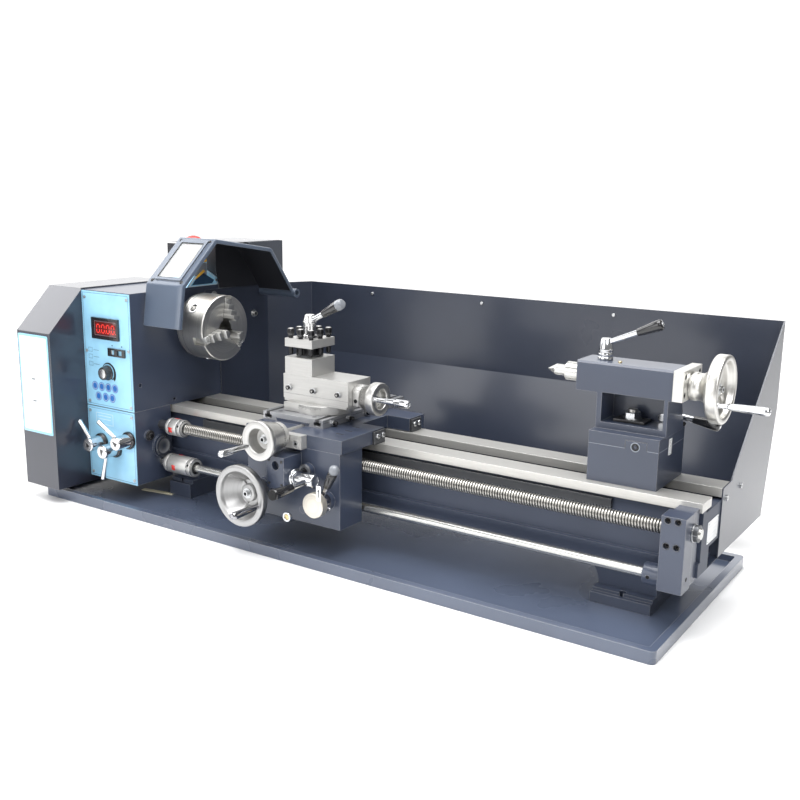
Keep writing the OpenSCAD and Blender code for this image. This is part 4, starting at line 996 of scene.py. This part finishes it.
# ---------------------------------------------------------------- covers
def cover_plate():
    """A plain chart plate with a light blue edge on the gear cover's front, and the cover's seam."""
    front = low("gear_cover").y
    x0, x1 = -632.6, -546.5
    p = Piece("cover_plate")
    p.prism("y", rounded_outline(x0, x1, 135, 324, 3), front, front - 0.8, "panel", 0.2)
    p.prism("y", rounded_outline(x0 + 4.5, x1 - 4.5, 140, 319.5, 2), front - 0.8, front - 1.1, "plate_white",
            0.1)
    for z in (196, 238):
        p.slab("y", (x0 + 34, z), (x0 + 44, z + 3), front - 1.1, front - 1.3, "plate_grey")
    for row in range(3):
        for k in range(5):
            z = 150 + 42 * row + 6 * k
            p.slab("y", (x0 + 12, z), (x1 - 14, z + 0.5), front - 1.1, front - 1.2, "faint_line")
    p.done("frame", "blue_panel")

    seam = Piece("cover_seam")
    x = high("gear_cover").x
    headstock_top, head_front = high("headstock").z, low("headstock").y
    seam.box((x - 2.2, head_front - 0.6, 44), (x - 0.4, head_front + 3, headstock_top - 0.6), "hole", 0.2)
    seam.box((x - 2.0, head_front - 1.4, headstock_top + 1.2), (x - 0.4, 56, headstock_top + 2.4), "hole", 0.2)
    seam.done("frame", "dark_steel")


def console_panel():
    """Layers of the sloping control panel's end, and the stop button's housing, cap and collar."""
    right = high("console").x
    p = Piece("console_layers")
    outline = [(-14.5, 405.6), (67, 405.6), (73.5, 415.2), (29, 440.4), (9.0, 428.8)]
    centre = (40.0, 418.0)

    def shrink(points, k):
        return [(centre[0] + (y - centre[0]) * k, centre[1] + (z - centre[1]) * k) for y, z in points]

    for k, look, rise in ((0.97, "panel_white", 0.2), (0.90, "panel", 0.35)):
        p.prism("x", shrink(outline, k), right, right + rise, look, 0)
    p.prism("x", [(-3, 409), (52, 409), (58, 415), (30, 430), (11, 423)], right, right + 0.5, "teal", 0)
    p.prism("x", [(5, 418.5), (12, 427.5), (29, 437), (34, 434), (16, 424)], right, right + 0.65, "yellow", 0)
    p.socket_screw("x", 1, (63, 414.6), right + 0.3, 2.6, 1.4, "zinc")
    p.box((right - 34.6, 4.4, 424.6), (right + 0.5, 39.6, 451), "plate_grey", 2.0)
    p.box((right - 34.8, 4.2, 450.6), (right + 0.7, 39.8, 468.4), "yellow", 2.4)
    p.done("frame", "blue_panel")

    stop = pivot_of("emergency_stop")
    q = Piece("emergency_stop_detail")
    q.spin("z", stop, [(0, 456), (8, 456), (8, 477), (13.5, 480), (16.4, 485), (17.2, 490), (16.4, 495),
                       (13.4, 499.4), (8, 502), (3, 503.2), (0, 503.4)], "red", 0.5, 64)
    q.spin("z", stop, [(0, 472.8), (12.6, 472.8), (12.6, 474), (11.6, 476), (0, 476)], "black", 0.3, 56)
    q.done("emergency_stop", "red_plastic", "emergency_stop")


# ---------------------------------------------------------------- chuck and guard
def chuck_details():
    """Key sockets between the jaws, grooves and face rings of the body, and the stepped jaws."""
    axis = pivot("spindle_spin")
    face = high("chuck_body").x
    radius = high("chuck_body").z - axis.z
    jaw_angle = math.degrees(math.atan2(joints["jaw_1_travel"]["axis"][2], joints["jaw_1_travel"]["axis"][1]))
    p = Piece("chuck_sockets")
    for k in range(3):
        turn = math.radians(jaw_angle + 60 + 120 * k)
        side = Vector((0, math.cos(turn), math.sin(turn)))
        seat = Vector((-362, axis.y, axis.z))
        p.bar(seat + side * (radius - 1.4), seat + side * (radius + 0.5),
              [(7.4, 0), (10.6, 0), (10.6, 1.3), (10.0, 1.9), (8.2, 1.9), (7.4, 1.2), (7.4, 0)], "chrome", 0)
        # Near-black disc in each key socket is painted shade.
        p.bar(seat + side * (radius - 2.2), seat + side * (radius - 0.2), [(0, 0), (7.6, 0), (7.6, 2.0),
                                                                           (0, 2.0)], "hole", 0)
        corner = Matrix.Rotation(turn, 4, "X")
        lift = side * (radius - 0.5)
        p.box(seat + lift - Vector((3.9, 0.6, 3.9)), seat + lift + Vector((3.9, 0.6, 3.9)), "screw", 0.3,
              corner)
    for x in (-391.5, -380.2):
        p.ring("x", (axis.y, axis.z), radius - 0.5, radius + 0.12, x, x + 0.8, "dark_steel", 0, 96)
    for r_in in (29.0, 47.5):
        for k in range(3):
            start, stop = jaw_angle + 120 * k + 22, jaw_angle + 120 * (k + 1) - 22
            outline = arc_points(axis.y, axis.z, r_in + 0.35, start, stop, 24)
            outline += arc_points(axis.y, axis.z, r_in, stop, start, 24)
            p.prism("x", outline, face, face + 0.12, "jaw", 0)
    p.done("spindle", "chuck_steel")

    for k in range(3):
        turn = Matrix.Rotation(math.radians(jaw_angle + 120 * k), 4, "X")
        steps = ((15.2, 25.6, 26.4), (25.2, 35.6, 18.4), (35.2, 45.6, 10.4), (45.2, 55.8, 1.2))
        q = Piece(f"jaw_{k + 1}_detail")
        for inner, outer, out in steps:
            wide = 7.9
            part = bmesh.new()
            lo = Vector((face - 27.6, inner, -wide))
            hi = Vector((face + out, outer, wide))
            outline = [(lo.y, -wide), (hi.y, -wide), (hi.y, wide), (lo.y, wide)]
            if inner < 16:
                outline = [(inner, -2.2), (inner + 4.6, -wide), (hi.y, -wide), (hi.y, wide),
                           (inner + 4.6, wide), (inner, 2.2)]
            base = [part.verts.new((lo.x, y, z)) for y, z in outline]
            pushed = bmesh.ops.extrude_face_region(part, geom=[part.faces.new(base)])
            moved = [v for v in pushed["geom"] if isinstance(v, bmesh.types.BMVert)]
            bmesh.ops.translate(part, vec=(hi.x - lo.x, 0, 0), verts=moved)
            bmesh.ops.bevel(part, geom=part.edges[:], offset=0.5, segments=2, profile=0.5, affect="EDGES",
                            clamp_overlap=True)
            bmesh.ops.transform(part, matrix=Matrix.Translation((0, axis.y, axis.z)) @ turn, verts=part.verts)
            q.take(part, "jaw")
        for i in range(5):
            along = 47.0 + 2.1 * i
            lift = turn @ Vector((0, along, 0))
            q.box(Vector((face + 0.9, axis.y - 0.6, axis.z - 7.4)) + lift,
                  Vector((face + 2.1, axis.y + 0.6, axis.z + 7.4)) + lift, "jaw_edge", 0.2, turn)
        for side in (-1, 1):
            lift = turn @ Vector((0, 38, side * 7.95))
            q.box(Vector((face - 1.2, axis.y - 17.5, axis.z - 0.25)) + lift,
                  Vector((face + 0.4, axis.y + 17.5, axis.z + 0.25)) + lift, "hole", 0, turn)
        q.done(f"jaw_{k + 1}", "jaw_steel", f"jaw_{k + 1}")


GUARD_SHEET = 2.0


def filleted(path, radius):
    """Rounds each inner corner of a path with an arc."""
    out = [Vector(path[0])]
    for a, b, c in zip(path, path[1:], path[2:]):
        a, b, c = Vector(a), Vector(b), Vector(c)
        u, v = (a - b).normalized(), (c - b).normalized()
        half = math.acos(max(-1, min(1, u.dot(v)))) / 2
        cut = radius / math.tan(half)
        middle = b + (u + v).normalized() * radius / math.sin(half)
        start, stop = b + u * cut, b + v * cut
        for i in range(ARC_STEPS + 1):
            ray = (start - middle).lerp(stop - middle, i / ARC_STEPS).normalized() * radius
            out.append(middle + ray)
    out.append(Vector(path[-1]))
    return out


def chuck_guard():
    """The bent sheet guard with a folded right edge, a near-black inner sheet and a near-black left end plate
    that paint the shade inside it, window seal, screws and hinge tube.
    """
    low_corner, high_corner = low("chuck_guard"), high("chuck_guard")
    hinge = pivot("guard_swing")
    left, right = low_corner.x, high_corner.x - 4.0
    corners = [(-134, 346), (-122, 423), (-34, 503), (122, 479), (hinge.y - 4.8, hinge.z + 6.4)]
    path = filleted(corners, 9.0)
    window = (0.13, 0.87)
    panel_a, panel_b = Vector(corners[1]), Vector(corners[2])
    slope = (panel_b - panel_a).normalized()
    run = (panel_b - panel_a).length
    win0, win1 = panel_a + slope * run * window[0], panel_a + slope * run * window[1]
    points = list(path)
    seat = max(i for i, p in enumerate(points) if (p - panel_a).length < 20) + 1
    points[seat:seat] = [win0, win1]
    inward = []
    for i, p in enumerate(points):
        a = points[max(i - 1, 0)]
        b = points[min(i + 1, len(points) - 1)]
        d = (b - a).normalized()
        inward.append(Vector((d.y, -d.x)))
    columns = [(left, 0.0), (left + 18, 0.0), (right - 16, 0.0), (right - 2.6, 0.0), (right - 1.0, 0.5),
               (right - 0.2, 1.6), (right, 3.0), (right, 7.6)]

    def sheet(name, offset, thick, look, columns):
        part = bmesh.new()
        grid = [[part.verts.new((x, p.x + n.x * (d + offset), p.y + n.y * (d + offset))) for x, d in columns]
                for p, n in zip(points, inward)]
        for i in range(len(points) - 1):
            for j in range(len(columns) - 1):
                if i == seat and j == 1:
                    continue
                part.faces.new((grid[i][j], grid[i][j + 1], grid[i + 1][j + 1], grid[i + 1][j]))
        bmesh.ops.recalc_face_normals(part, faces=part.faces)
        if sum((f.normal.yz.dot(Vector((f.calc_center_median().y, f.calc_center_median().z - 400))))
               for f in part.faces) < 0:
            bmesh.ops.reverse_faces(part, faces=part.faces)
        bmesh.ops.solidify(part, geom=part.faces[:], thickness=thick)
        name.take(part, look)

    p = Piece("chuck_guard_detail")
    sheet(p, 0.0, GUARD_SHEET, "guard", columns)
    # Near-black inner sheet: painted shade inside the guard.
    sheet(p, GUARD_SHEET + 0.25, 0.3, "painted_shade_sheet", [(x - 2.6 if i > 2 else x + 0.2, min(d, 0.0))
                                                       for i, (x, d) in enumerate(columns[:4])])
    p.ring("x", (hinge.y, hinge.z), 5.1, 9, left, high_corner.x, "guard", 0, 56)
    for x in (left + 9, right - 8.4):
        for t in (0.07, 0.93):
            foot = panel_a + slope * run * t
            side = Vector((0, -inward[seat].x, -inward[seat].y))
            base = Vector((x, foot.x, foot.y))
            p.bar(base - side * 0.6, base + side * 1.5, [(0, 0), (3.4, 0), (3.4, 1.3), (2.4, 2.1), (0, 2.1)],
                  "black_steel", 0)
            # Near-black cone in each screw head is painted shade in its socket.
            p.bar(base + side * 1.4, base + side * 1.62, [(0, 0), (1.5, 0), (0, 0.2)], "hole", 0)
    pane = (low("guard_window").x, high("guard_window").x, 0.09, 0.925)
    opening = (left + 18, right - 16, *window)
    seal, seal_t, proud = 1.4, 0.012, -3.0
    inner = (opening[0] + seal, opening[1] - seal, opening[2] + seal_t, opening[3] - seal_t)
    for outer, hole, look, lift in ((pane, opening, "guard", proud), (opening, inner, "rubber", proud + 0.2)):
        for x0, x1, a, b in ((outer[0], hole[0], outer[2], outer[3]), (hole[1], outer[1], outer[2], outer[3]),
                             (hole[0], hole[1], outer[2], hole[2]), (hole[0], hole[1], hole[3], outer[3])):
            lo, hi = panel_a + slope * run * a, panel_a + slope * run * b
            n = Vector((0, inward[seat].x, inward[seat].y))
            part = bmesh.new()
            verts = [part.verts.new(Vector((x, q.x, q.y)) + n * d) for d in (lift, 2.3)
                     for x, q in ((x0, lo), (x1, lo), (x1, hi), (x0, hi))]
            for quad in ((0, 1, 2, 3), (4, 5, 6, 7), (0, 1, 5, 4), (1, 2, 6, 5), (2, 3, 7, 6), (3, 0, 4, 7)):
                part.faces.new([verts[i] for i in quad])
            p.take(part, look)
    # Near-black plate in the guard's left opening: painted shade.
    p.prism("x", [(57, 433), (57, 486), (120, 476), (180, 396), (67, 399)], left + 0.6, left + 2.2,
            "painted_shade_sheet", 0)
    p.done("chuck_guard", "guard_paint", "chuck_guard")


# ---------------------------------------------------------------- carriage and slides
def carriage_details():
    """Oil slots, plate, sight glass and screws of the saddle and apron; rail wipers and their bolts."""
    top, front = high("saddle").z, low("apron").y
    p = Piece("carriage_fittings")
    # Near-black slabs on the saddle's top are painted shade in its oil slots.
    for x, y in ((58, -148), (58, -124), (52, -96)):
        p.box((x - 7, y - 1.4, top - 0.2), (x + 7, y + 1.4, top + 0.15), "hole", 0.1)
    p.prism("y", rounded_outline(59.5, 68.5, 118, 143, 1.5), front, front - 0.7, "plate_white", 0.1)
    p.prism("y", [(63.2, 124), (64.8, 124), (64.8, 134), (66, 134), (64, 138), (62, 134), (63.2, 134)],
            front - 0.7, front - 0.9, "hole", 0)
    p.spin("y", (1, 80), [(4.6, front), (8.2, front), (8.2, front - 3), (7.6, front - 4.4), (5.4, front - 4.4),
                          (4.6, front - 3), (4.6, front)], "chrome", 0, 48)
    p.spin("y", (1, 80), [(0, front - 2.6), (4.8, front - 2.6), (4.6, front - 3), (0, front - 3)], "brass", 0.1,
           32)
    p.spin("y", (8.6, 148.8), [(6.2, -176), (12.4, -176), (12.4, -177.6), (11.4, -178.6), (7.2, -178.6),
                               (6.2, -177.6), (6.2, -176)], "dark_steel", 0, 48)
    p.hex_nut("y", -1, (8.6, 148.8), -171, 5.8, 5, "black_steel")
    for x, z in ((-38, 169), (-12, 169), (-38, 130), (-12, 130)):
        p.socket_screw("y", -1, (x, z), -211, 2.4, 0.9, "black_steel")
    p.done("carriage", "zinc_steel")

    b = Piece("bracket_screws")
    plate = -180.0
    for x in (-72, -8):
        b.ring("y", (x, 193), 5.2, 8.0, plate, plate - 0.9, "cast", 0, 40)
        b.socket_screw("y", -1, (x, 193), plate + 3.5, 4.7, 4.0, "zinc")
    b.spin("y", (-40, 204.5), [(18.4, -180.2), (20.8, -181.4), (22, -184), (21.6, -189.4), (19, -189.9),
                               (18.4, -180.2)], "cast", 0, 64)
    b.done("carriage", "cast_aluminium")

    w = Piece("wiper_bolts")
    for y, x in ((-72, 82), (-57, 82), (38, 84), (52, 84)):
        w.spin("x", (y, 197), [(0, x - 3), (4.6, x - 3), (4.6, x - 0.4), (3.4, x + 0.4), (0, x + 0.4)], "zinc",
               0.3, 32)
        # Near-black slit is painted shade in the screw's slot.
        w.box((x + 0.2, y - 3.0, 196.6), (x + 0.45, y + 3.0, 197.4), "hole", 0)
    for y0, y1, x in ((-80, -50, 75), (30, 60, 77)):
        w.box((x - 0.2, y0 - 0.6, 183.6), (x + 1.0, y1 + 0.6, 206), "rubber", 0.2)
    w.done("carriage", "zinc_steel")


def cross_slide_details():
    """Gib screws, each a hex nut and a dark socket end; slots, gib line and plugs of the cross slide."""
    side = high("cross_slide").x - 9.0
    top = high("cross_slide").z
    p = Piece("cross_gib_screws")
    for y in (-96, -50, 0, 50):
        p.hex_nut("x", 1, (y, 213.5), side, 5.4, 3.6, "zinc")
        p.spin("x", (y, 213.5), [(0, side + 3), (3.7, side + 3), (3.7, side + 9.6), (3.0, side + 10.2),
                                 (1.9, side + 10.2), (1.9, side + 7.6), (0, side + 7.6)], "black_steel", 0, 32)
    front = low("cross_slide").y
    # Near-black slabs along the top are painted shade in the cross slide's slots.
    for x in (-116, -9):
        p.box((x - 3.7, front + 0.3, 217.2), (x + 3.7, 119.4, 217.7), "hole", 0)
    p.box((side - 0.05, front + 2, 216.4), (side + 0.15, 118, 216.8), "hole", 0)
    for x, y in ((-100, -108), (-26, -108), (-100, 104), (-26, 104)):
        p.disc("z", (x, y), 4.2, top - 0.05, top + 0.15, "dark_steel", 0, 32)
    p.done("cross_slide", "zinc_steel")


def compound_details():
    """Graduated ring of the compound base; gib screws, seams and screw bracket of the top slide."""
    at = pivot("compound_swivel")
    base = Piece("compound_scale")
    z0, z1, radius = 222.4, 237.6, 51.0
    base.spin("z", (at.x, at.y), [(radius, z0), (radius + 0.4, z0 + 0.3), (radius + 0.4, z1 - 0.6),
                                  (radius - 0.4, z1 + 0.2)], "block", 0, 96)
    for i in range(61):
        angle = math.radians(-150 + 2 * i - 30)
        tall = 6.5 if i % 5 == 0 else 3.8
        side = Vector((math.cos(angle), math.sin(angle), 0))
        foot = Vector((at.x, at.y, z1 - 0.8)) + side * (radius + 0.45)
        base.rod(foot, foot - Vector((0, 0, tall)), 0.22, 0.22, "hole", 0, 6)
    base.box((-100, -100, z0 + 0.2), (-48, -30, z1 + 0.2), "block", 1.2)
    base.done("compound", "ground_steel")

    slide_front = -90.0
    s = Piece("top_slide_fittings")
    for x in (-94, -41, 12):
        s.hex_nut("y", -1, (x, 262), slide_front, 5.6, 3.8, "zinc")
        s.spin("y", (x, 262), [(0, slide_front - 3), (3.8, slide_front - 3), (3.8, slide_front - 7.2),
                               (3.0, slide_front - 7.8), (2.0, slide_front - 7.8), (2.0, slide_front - 5),
                               (0, slide_front - 5)], "black_steel", 0, 32)
    s.box((-107.8, slide_front - 0.12, 251.2), (30.8, slide_front + 0.05, 251.7), "dark_steel", 0)
    s.box((-107.8, slide_front - 0.12, 278.2), (30.8, slide_front + 0.05, 278.4), "jaw", 0)
    right = 31.0
    s.prism("x", [(-78, 242.8), (-42, 242.8), (-42, 268), (-48, 275), (-58, 278), (-62, 278), (-72, 275),
                  (-78, 268)], right, right + 12.6, "cast", 1.4)
    s.spin("x", (-60, 257), [(19.0, 43.4), (20.2, 43.6), (20.2, 45.1), (5, 45.1), (5, 43.4), (19, 43.4)],
           "cast", 0, 64)
    # Near-black disc is painted shade in a hole.
    s.disc("y", (38, 252), 3.6, -78.02, -78.3, "hole", 0, 28)
    s.done("top_slide", "ground_steel")


def tool_post_details():
    """Square headed bolts with flat bright tops and dark shanks, and a black block between the jaws that paints
    the shade in the gap, on a dark disc.
    """
    middle = (low("tool_post") + high("tool_post")) / 2
    top = high("tool_post").z
    spots = ((-22, -24), (0, -25), (22, -24), (23, 0), (22, 24), (0, 25), (-22, 24), (-23, 0))
    p = Piece("tool_post_bolts_detail")
    for dx, dy in spots:
        x, y = middle.x + dx, middle.y + dy
        p.spin("z", (x, y), [(0, 319), (3.2, 319), (4.0, 321), (4.0, 353), (0, 353)], "black_steel", 0.3, 24)
        p.spin("z", (x, y), [(0, top + 4), (5.4, top + 4), (5.4, top + 5.4), (4.3, top + 6.6), (0, top + 6.6)],
               "black_steel", 0.2, 24)
        p.box((x - 4.4, y - 4.4, top + 6), (x + 4.4, y + 4.4, top + 16.4), "black_steel", 0.7)
        p.spin("z", (x, y), [(0, top + 16.2), (4.3, top + 16.2), (4.1, top + 16.9), (0, top + 16.9)], "block",
               0.1, 24)
    p.done("tool_post", "black_steel", "tool_post_bolts")
    gap_shade_and_disc = Piece("tool_post_gap_shade_and_disc")
    # The black block fills the gap between the jaws: painted shade.
    gap_shade_and_disc.box((middle.x - 17, middle.y - 17, 315.1), (middle.x + 17, middle.y + 17, 332.6), "black_steel", 1.5)
    gap_shade_and_disc.disc("z", (middle.x, middle.y), 20.5, 315.05, 317.4, "dark_steel", 0.3, 48)
    gap_shade_and_disc.done("tool_post", "black_steel")


# ---------------------------------------------------------------- tailstock
def tailstock_details():
    """Joint lines, scale plate, oiler and screws of the tailstock; clamp nut; end plate bolts."""
    front = low("tailstock_base").y
    left, right = low("tailstock_base").x, high("tailstock_base").x
    quill_line = (0, 333.1)
    p = Piece("tailstock_fittings")
    p.socket_screw("y", -1, (515, 243.5), front + 1, 5.6, 1.6, "black_steel")
    p.spin("y", (515, 243.5), [(5.8, front - 0.02), (7.2, front - 0.02), (7.2, front - 0.2),
                               (5.8, front - 0.2)], "casting_line", 0, 40)
    p.box((left + 1, front - 0.12, 239.7), (499, front + 0.1, 240.3), "casting_line", 0)
    p.box((533, front - 0.12, 239.7), (right - 1, front + 0.1, 240.3), "casting_line", 0)
    p.box((right - 0.1, front + 1, 239.7), (right + 0.12, 59, 240.3), "casting_line", 0)
    p.box((right - 0.1, -8, 228), (right + 0.6, 4, 252), "plate_white", 0.1)
    for k in range(9):
        p.box((right + 0.5, -7, 230 + 2.4 * k), (right + 0.75, -3 if k % 4 else 0, 230.4 + 2.4 * k), "hole", 0)
    p.spin("z", (470, -12), [(0, 357), (2.8, 357), (2.8, 358.2), (1.8, 359), (0, 359)], "brass", 0.1, 28)
    p.socket_screw("y", 1, (548, 262), 57.5, 3.4, 3.0, "black_steel")
    p.spin("x", quill_line, [(15.0, 409.9), (17.8, 409.9), (17.8, 409.2), (15.2, 409.2), (15.0, 409.9)],
           "dark_steel", 0, 64)
    p.done("tailstock", "cast_aluminium")

    nut = Piece("clamp_nut")
    nut.box((466, -18, 269.4), (514, 14, 273.6), "black_steel", 0.8)
    nut.disc("z", (490, 0), 14, 273.4, 275.2, "zinc", 0.3, 48)
    nut.hex_nut("z", 1, (490, 0), 275.2, 13, 8.6, "zinc")
    nut.spin("z", (490, 0), [(0, 283), (7.6, 283), (7.0, 288), (0, 288)], "screw", 0.3, 32)
    nut.done("tailstock", "zinc_steel")

    e = Piece("end_plate_bolts")
    face = high("end_plate").x
    for y in (-31, 31):
        for z in (324, 350):
            e.socket_screw("x", 1, (y, z), face - 3.6, 4.3, 3.4, "black_steel")
    e.ring("x", quill_line, 9, 19.6, face - 0.1, face + 0.3, "polished", 0, 64)
    e.done("tailstock", "black_steel")


def bed_details():
    """Plate and bolts at the bed's right end, the strip in the tray and the splash guard's bolts."""
    right = high("bed").x
    p = Piece("bed_end_plate")
    p.prism("x", rounded_outline(-34, 14, 114, 147, 1.5), right, right + 0.8, "plate_white", 0.2)
    for k in range(4):
        p.box((right + 0.75, -29, 120 + 6 * k), (right + 0.95, 6, 120.6 + 6 * k), "faint_line", 0)
    for y, z in ((-31, 117), (-31, 144), (11, 117), (11, 144)):
        p.spin("x", (y, z), [(0, right + 0.7), (1.2, right + 0.7), (0.9, right + 1.3), (0, right + 1.4)],
               "zinc", 0, 16)
    p.done("frame", "zinc_steel")

    b = Piece("bracket_bolts")
    front = low("end_bracket").y
    for x in (596, 610):
        for z in (136, 172):
            b.spin("y", (x, z), [(4.3, front - 0.02), (5.0, front - 0.3), (4.2, front + 1.2)], "dark", 0, 40)
            b.socket_screw("y", -1, (x, z), front + 6.5, 4.0, 2.6, "black_steel")
    # Near-black disc is painted shade in a hole in the end bracket.
    b.spin("x", (-113, 88), [(0, high("end_bracket").x - 0.05), (3.2, high("end_bracket").x - 0.05),
                             (3.0, high("end_bracket").x + 0.25), (0, high("end_bracket").x + 0.25)], "hole", 0,
           28)
    b.done("frame", "black_steel")

    strip = Piece("tray_strip")
    strip.box((-472, -94, 8.0), (-398, -83, 9.2), "cream", 0.4, Matrix.Rotation(math.radians(9), 4, "Z"))
    strip.done("frame", "zinc_steel")

    g = Piece("guard_bolts")
    wing = high("headstock").x + 2.0
    for y, z in ((54.3, 385), (170.4, 337.3)):
        g.disc("x", (y, z), 8.2, wing, wing + 1.4, "zinc", 0.3, 40)
        g.socket_screw("x", 1, (y, z), wing + 1.4, 5.2, 4.8, "screw")
    back_y = high("splash_guard").y - 2.0
    for x in (-200, 60, 330):
        g.spin("y", (x, 382), [(0, back_y - 0.1), (3.6, back_y - 0.1), (3.0, back_y - 2.0), (0, back_y - 2.2)],
               "zinc", 0.2, 24)
    g.done("frame", "zinc_steel")


def rear_details():
    """Cabinet frame, louvres with painted shade strips beneath them, screws, a near-black sheet over the front
    that paints its shade, and lid, and the ring around the spindle's open end.
    """
    back = high("electrical_box").y
    x0, x1 = low("electrical_box").x, high("electrical_box").x
    z0, z1 = low("electrical_box").z, high("electrical_box").z
    p = Piece("cabinet_fittings")
    framed(p, "y", 1, back, (x0 + 6, z0 + 6), (x1 - 6, z1 - 6), 1.2, 0.8, "dark")
    for k in range(7):
        z = z0 + 36 + 11 * k
        p.box((x0 + 26, back - 0.2, z), (x1 - 26, back + 2.4, z + 3.2), "grey", 1.0)
        # Near-black strip under each louvre is painted shade between the louvres.
        p.box((x0 + 27, back - 0.1, z - 2.4), (x1 - 27, back + 0.4, z - 0.2), "hole", 0)
    for x in (x0 + 12, x1 - 12):
        for z in (z0 + 12, z1 - 12):
            p.socket_screw("y", 1, (x, z), back + 0.2, 3.6, 2.4, "zinc")
    front = low("electrical_box").y
    # Near-black sheet over the cabinet's front: painted shade.
    p.box((x0 + 3, front - 0.8, z0 + 3), (x1 - 3, front + 0.1, z1 - 3), "painted_shade_sheet", 0.3)
    p.box((x0 + 4, front + 4, z1 - 0.1), (x1 - 4, back - 4, z1 + 0.8), "grey", 0.4)
    p.done("frame", "grey_paint")

    ring = Piece("spindle_port")
    left = low("gear_cover").x
    axis = pivot("spindle_spin")
    ring.spin("x", (axis.y, axis.z), [(24.2, left + 1.8), (30, left + 1.8), (30, left - 1.0),
                                      (28.6, left - 2.0), (25.0, left - 2.0), (24.2, left - 1.0),
                                      (24.2, left + 1.8)], "zinc", 0, 64)
    for y, z in ((-200, 60), (130, 60), (-200, 300), (130, 300)):
        ring.socket_screw("x", -1, (y, z), left, 4.2, 2.6, "zinc")
    ring.done("frame", "zinc_steel")


# ---------------------------------------------------------------- camera, light and floor
CAMERA_PLACE = (1002.6, -1393.4, 615.4)
CAMERA_TURN = (33.647, -12.673, 0.750)  # yaw, pitch and roll in degrees
CAMERA_LENS, CAMERA_SHIFT = 45.02, 0.00475


def camera():
    """The camera, solved from edges that are square to each other."""
    yaw, pitch, roll = (math.radians(angle) for angle in CAMERA_TURN)
    forward = Vector((-math.sin(yaw) * math.cos(pitch), math.cos(yaw) * math.cos(pitch), math.sin(pitch)))
    right = Vector((math.cos(yaw), math.sin(yaw), 0))
    up = right.cross(forward)
    side = right * math.cos(roll) + up * math.sin(roll)
    top = up * math.cos(roll) - right * math.sin(roll)
    data = bpy.data.cameras.new("camera")
    data.sensor_width = 36.0
    data.lens = CAMERA_LENS
    data.shift_y = CAMERA_SHIFT
    data.clip_start = 0.05
    seen = bpy.data.objects.new("camera", data)
    seen.matrix_world = Matrix.Translation(Vector(CAMERA_PLACE) * MM) @ Matrix(
        (side, top, -forward)).transposed().to_4x4()
    bpy.context.scene.collection.objects.link(seen)
    bpy.context.scene.camera = seen


def softbox(name, place, target, size, power):
    """A white area lamp: place, target and size in metres, power in watts."""
    data = bpy.data.lights.new(name, "AREA")
    data.shape = "RECTANGLE"
    data.size, data.size_y = size
    data.energy = power
    lamp = bpy.data.objects.new(name, data)
    lamp.location = place
    lamp.rotation_euler = (Vector(target) - Vector(place)).to_track_quat("-Z", "Y").to_euler()
    bpy.context.scene.collection.objects.link(lamp)


def studio():
    """White surroundings, brighter behind the machine than in front of it, four softboxes and a pale floor that
    glows more the further it lies behind the machine (painted light).
    """
    world = bpy.data.worlds.new("studio")
    world.use_nodes = True
    nodes, links = world.node_tree.nodes, world.node_tree.links
    toward_back = nodes.new("ShaderNodeVectorMath")
    toward_back.operation = "DOT_PRODUCT"
    toward_back.inputs[1].default_value = (-0.80, 0.60, 0.0)
    links.new(nodes.new("ShaderNodeTexCoord").outputs["Generated"], toward_back.inputs[0])
    level = nodes.new("ShaderNodeMapRange")
    for key, value in (("From Min", 0.42), ("From Max", 0.70), ("To Min", 0.26), ("To Max", 1.6)):
        level.inputs[key].default_value = value
    links.new(toward_back.outputs["Value"], level.inputs["Value"])
    back = nodes["Background"]
    back.inputs["Color"].default_value = (1.0, 1.0, 1.0, 1)
    seen = nodes.new("ShaderNodeMix")
    links.new(nodes.new("ShaderNodeLightPath").outputs["Is Camera Ray"], seen.inputs["Factor"])
    links.new(level.outputs[0], seen.inputs["A"])
    seen.inputs["B"].default_value = 1.2
    links.new(seen.outputs["Result"], back.inputs["Strength"])
    bpy.context.scene.world = world
    bpy.context.scene.view_settings.view_transform = "Standard"
    softbox("top", (0.2, -0.3, 2.6), (0, 0, 0.2), (2.6, 2.0), 108)
    softbox("left", (-2.7, -0.5, 2.0), (-0.5, -0.1, 0.3), (1.8, 1.8), 32)
    softbox("front_left", (-1.0, -3.0, 1.3), (-0.1, 0, 0.25), (2.6, 1.8), 40)
    softbox("front_right", (1.9, -1.6, 1.9), (0.2, 0, 0.2), (1.4, 1.2), 22)
    mesh = bpy.data.meshes.new("floor")
    reach = 3.4
    mesh.from_pydata([(-reach, -reach, 0), (reach, -reach, 0), (reach, reach, 0), (-reach, reach, 0)], [],
                     [(0, 1, 2, 3)])
    floor = bpy.data.objects.new("floor", mesh)
    g = Graph("floor_white")
    grain = g.noise(g.place(), 30.0, 3.0)
    # The floor's emission rises with distance behind the machine: painted light, not a lamp.
    behind = g.node("ShaderNodeVectorMath", {0: g.place(), 1: (-0.55, 0.83, 0.0)},
                    operation="DOT_PRODUCT").outputs["Value"]
    painted_floor_glow = g.node("ShaderNodeMapRange", {"Value": behind, "From Min": 0.6, "From Max": 2.2, "To Min": 0.0,
                                         "To Max": 0.5}).outputs[0]
    mesh.materials.append(g.finish(Base_Color=g.mix(grain, (0.93, 0.93, 0.93, 1), (0.95, 0.95, 0.95, 1)),
                                   Roughness=0.6, Emission_Color=(1, 1, 1, 1), Emission_Strength=painted_floor_glow))
    bpy.context.scene.collection.objects.link(floor)


dress_nodes()
shafts()
spoked_wheel()
cup_wheel()
compound_wheel()
tailstock_wheel()
feed_lever()
half_nut_lever()
tool_post_lever()
tailstock_levers()
gearbox_levers()
panel_print()
cover_plate()
console_panel()
chuck_details()
chuck_guard()
carriage_details()
cross_slide_details()
compound_details()
tool_post_details()
tailstock_details()
bed_details()
rear_details()
camera()
studio()
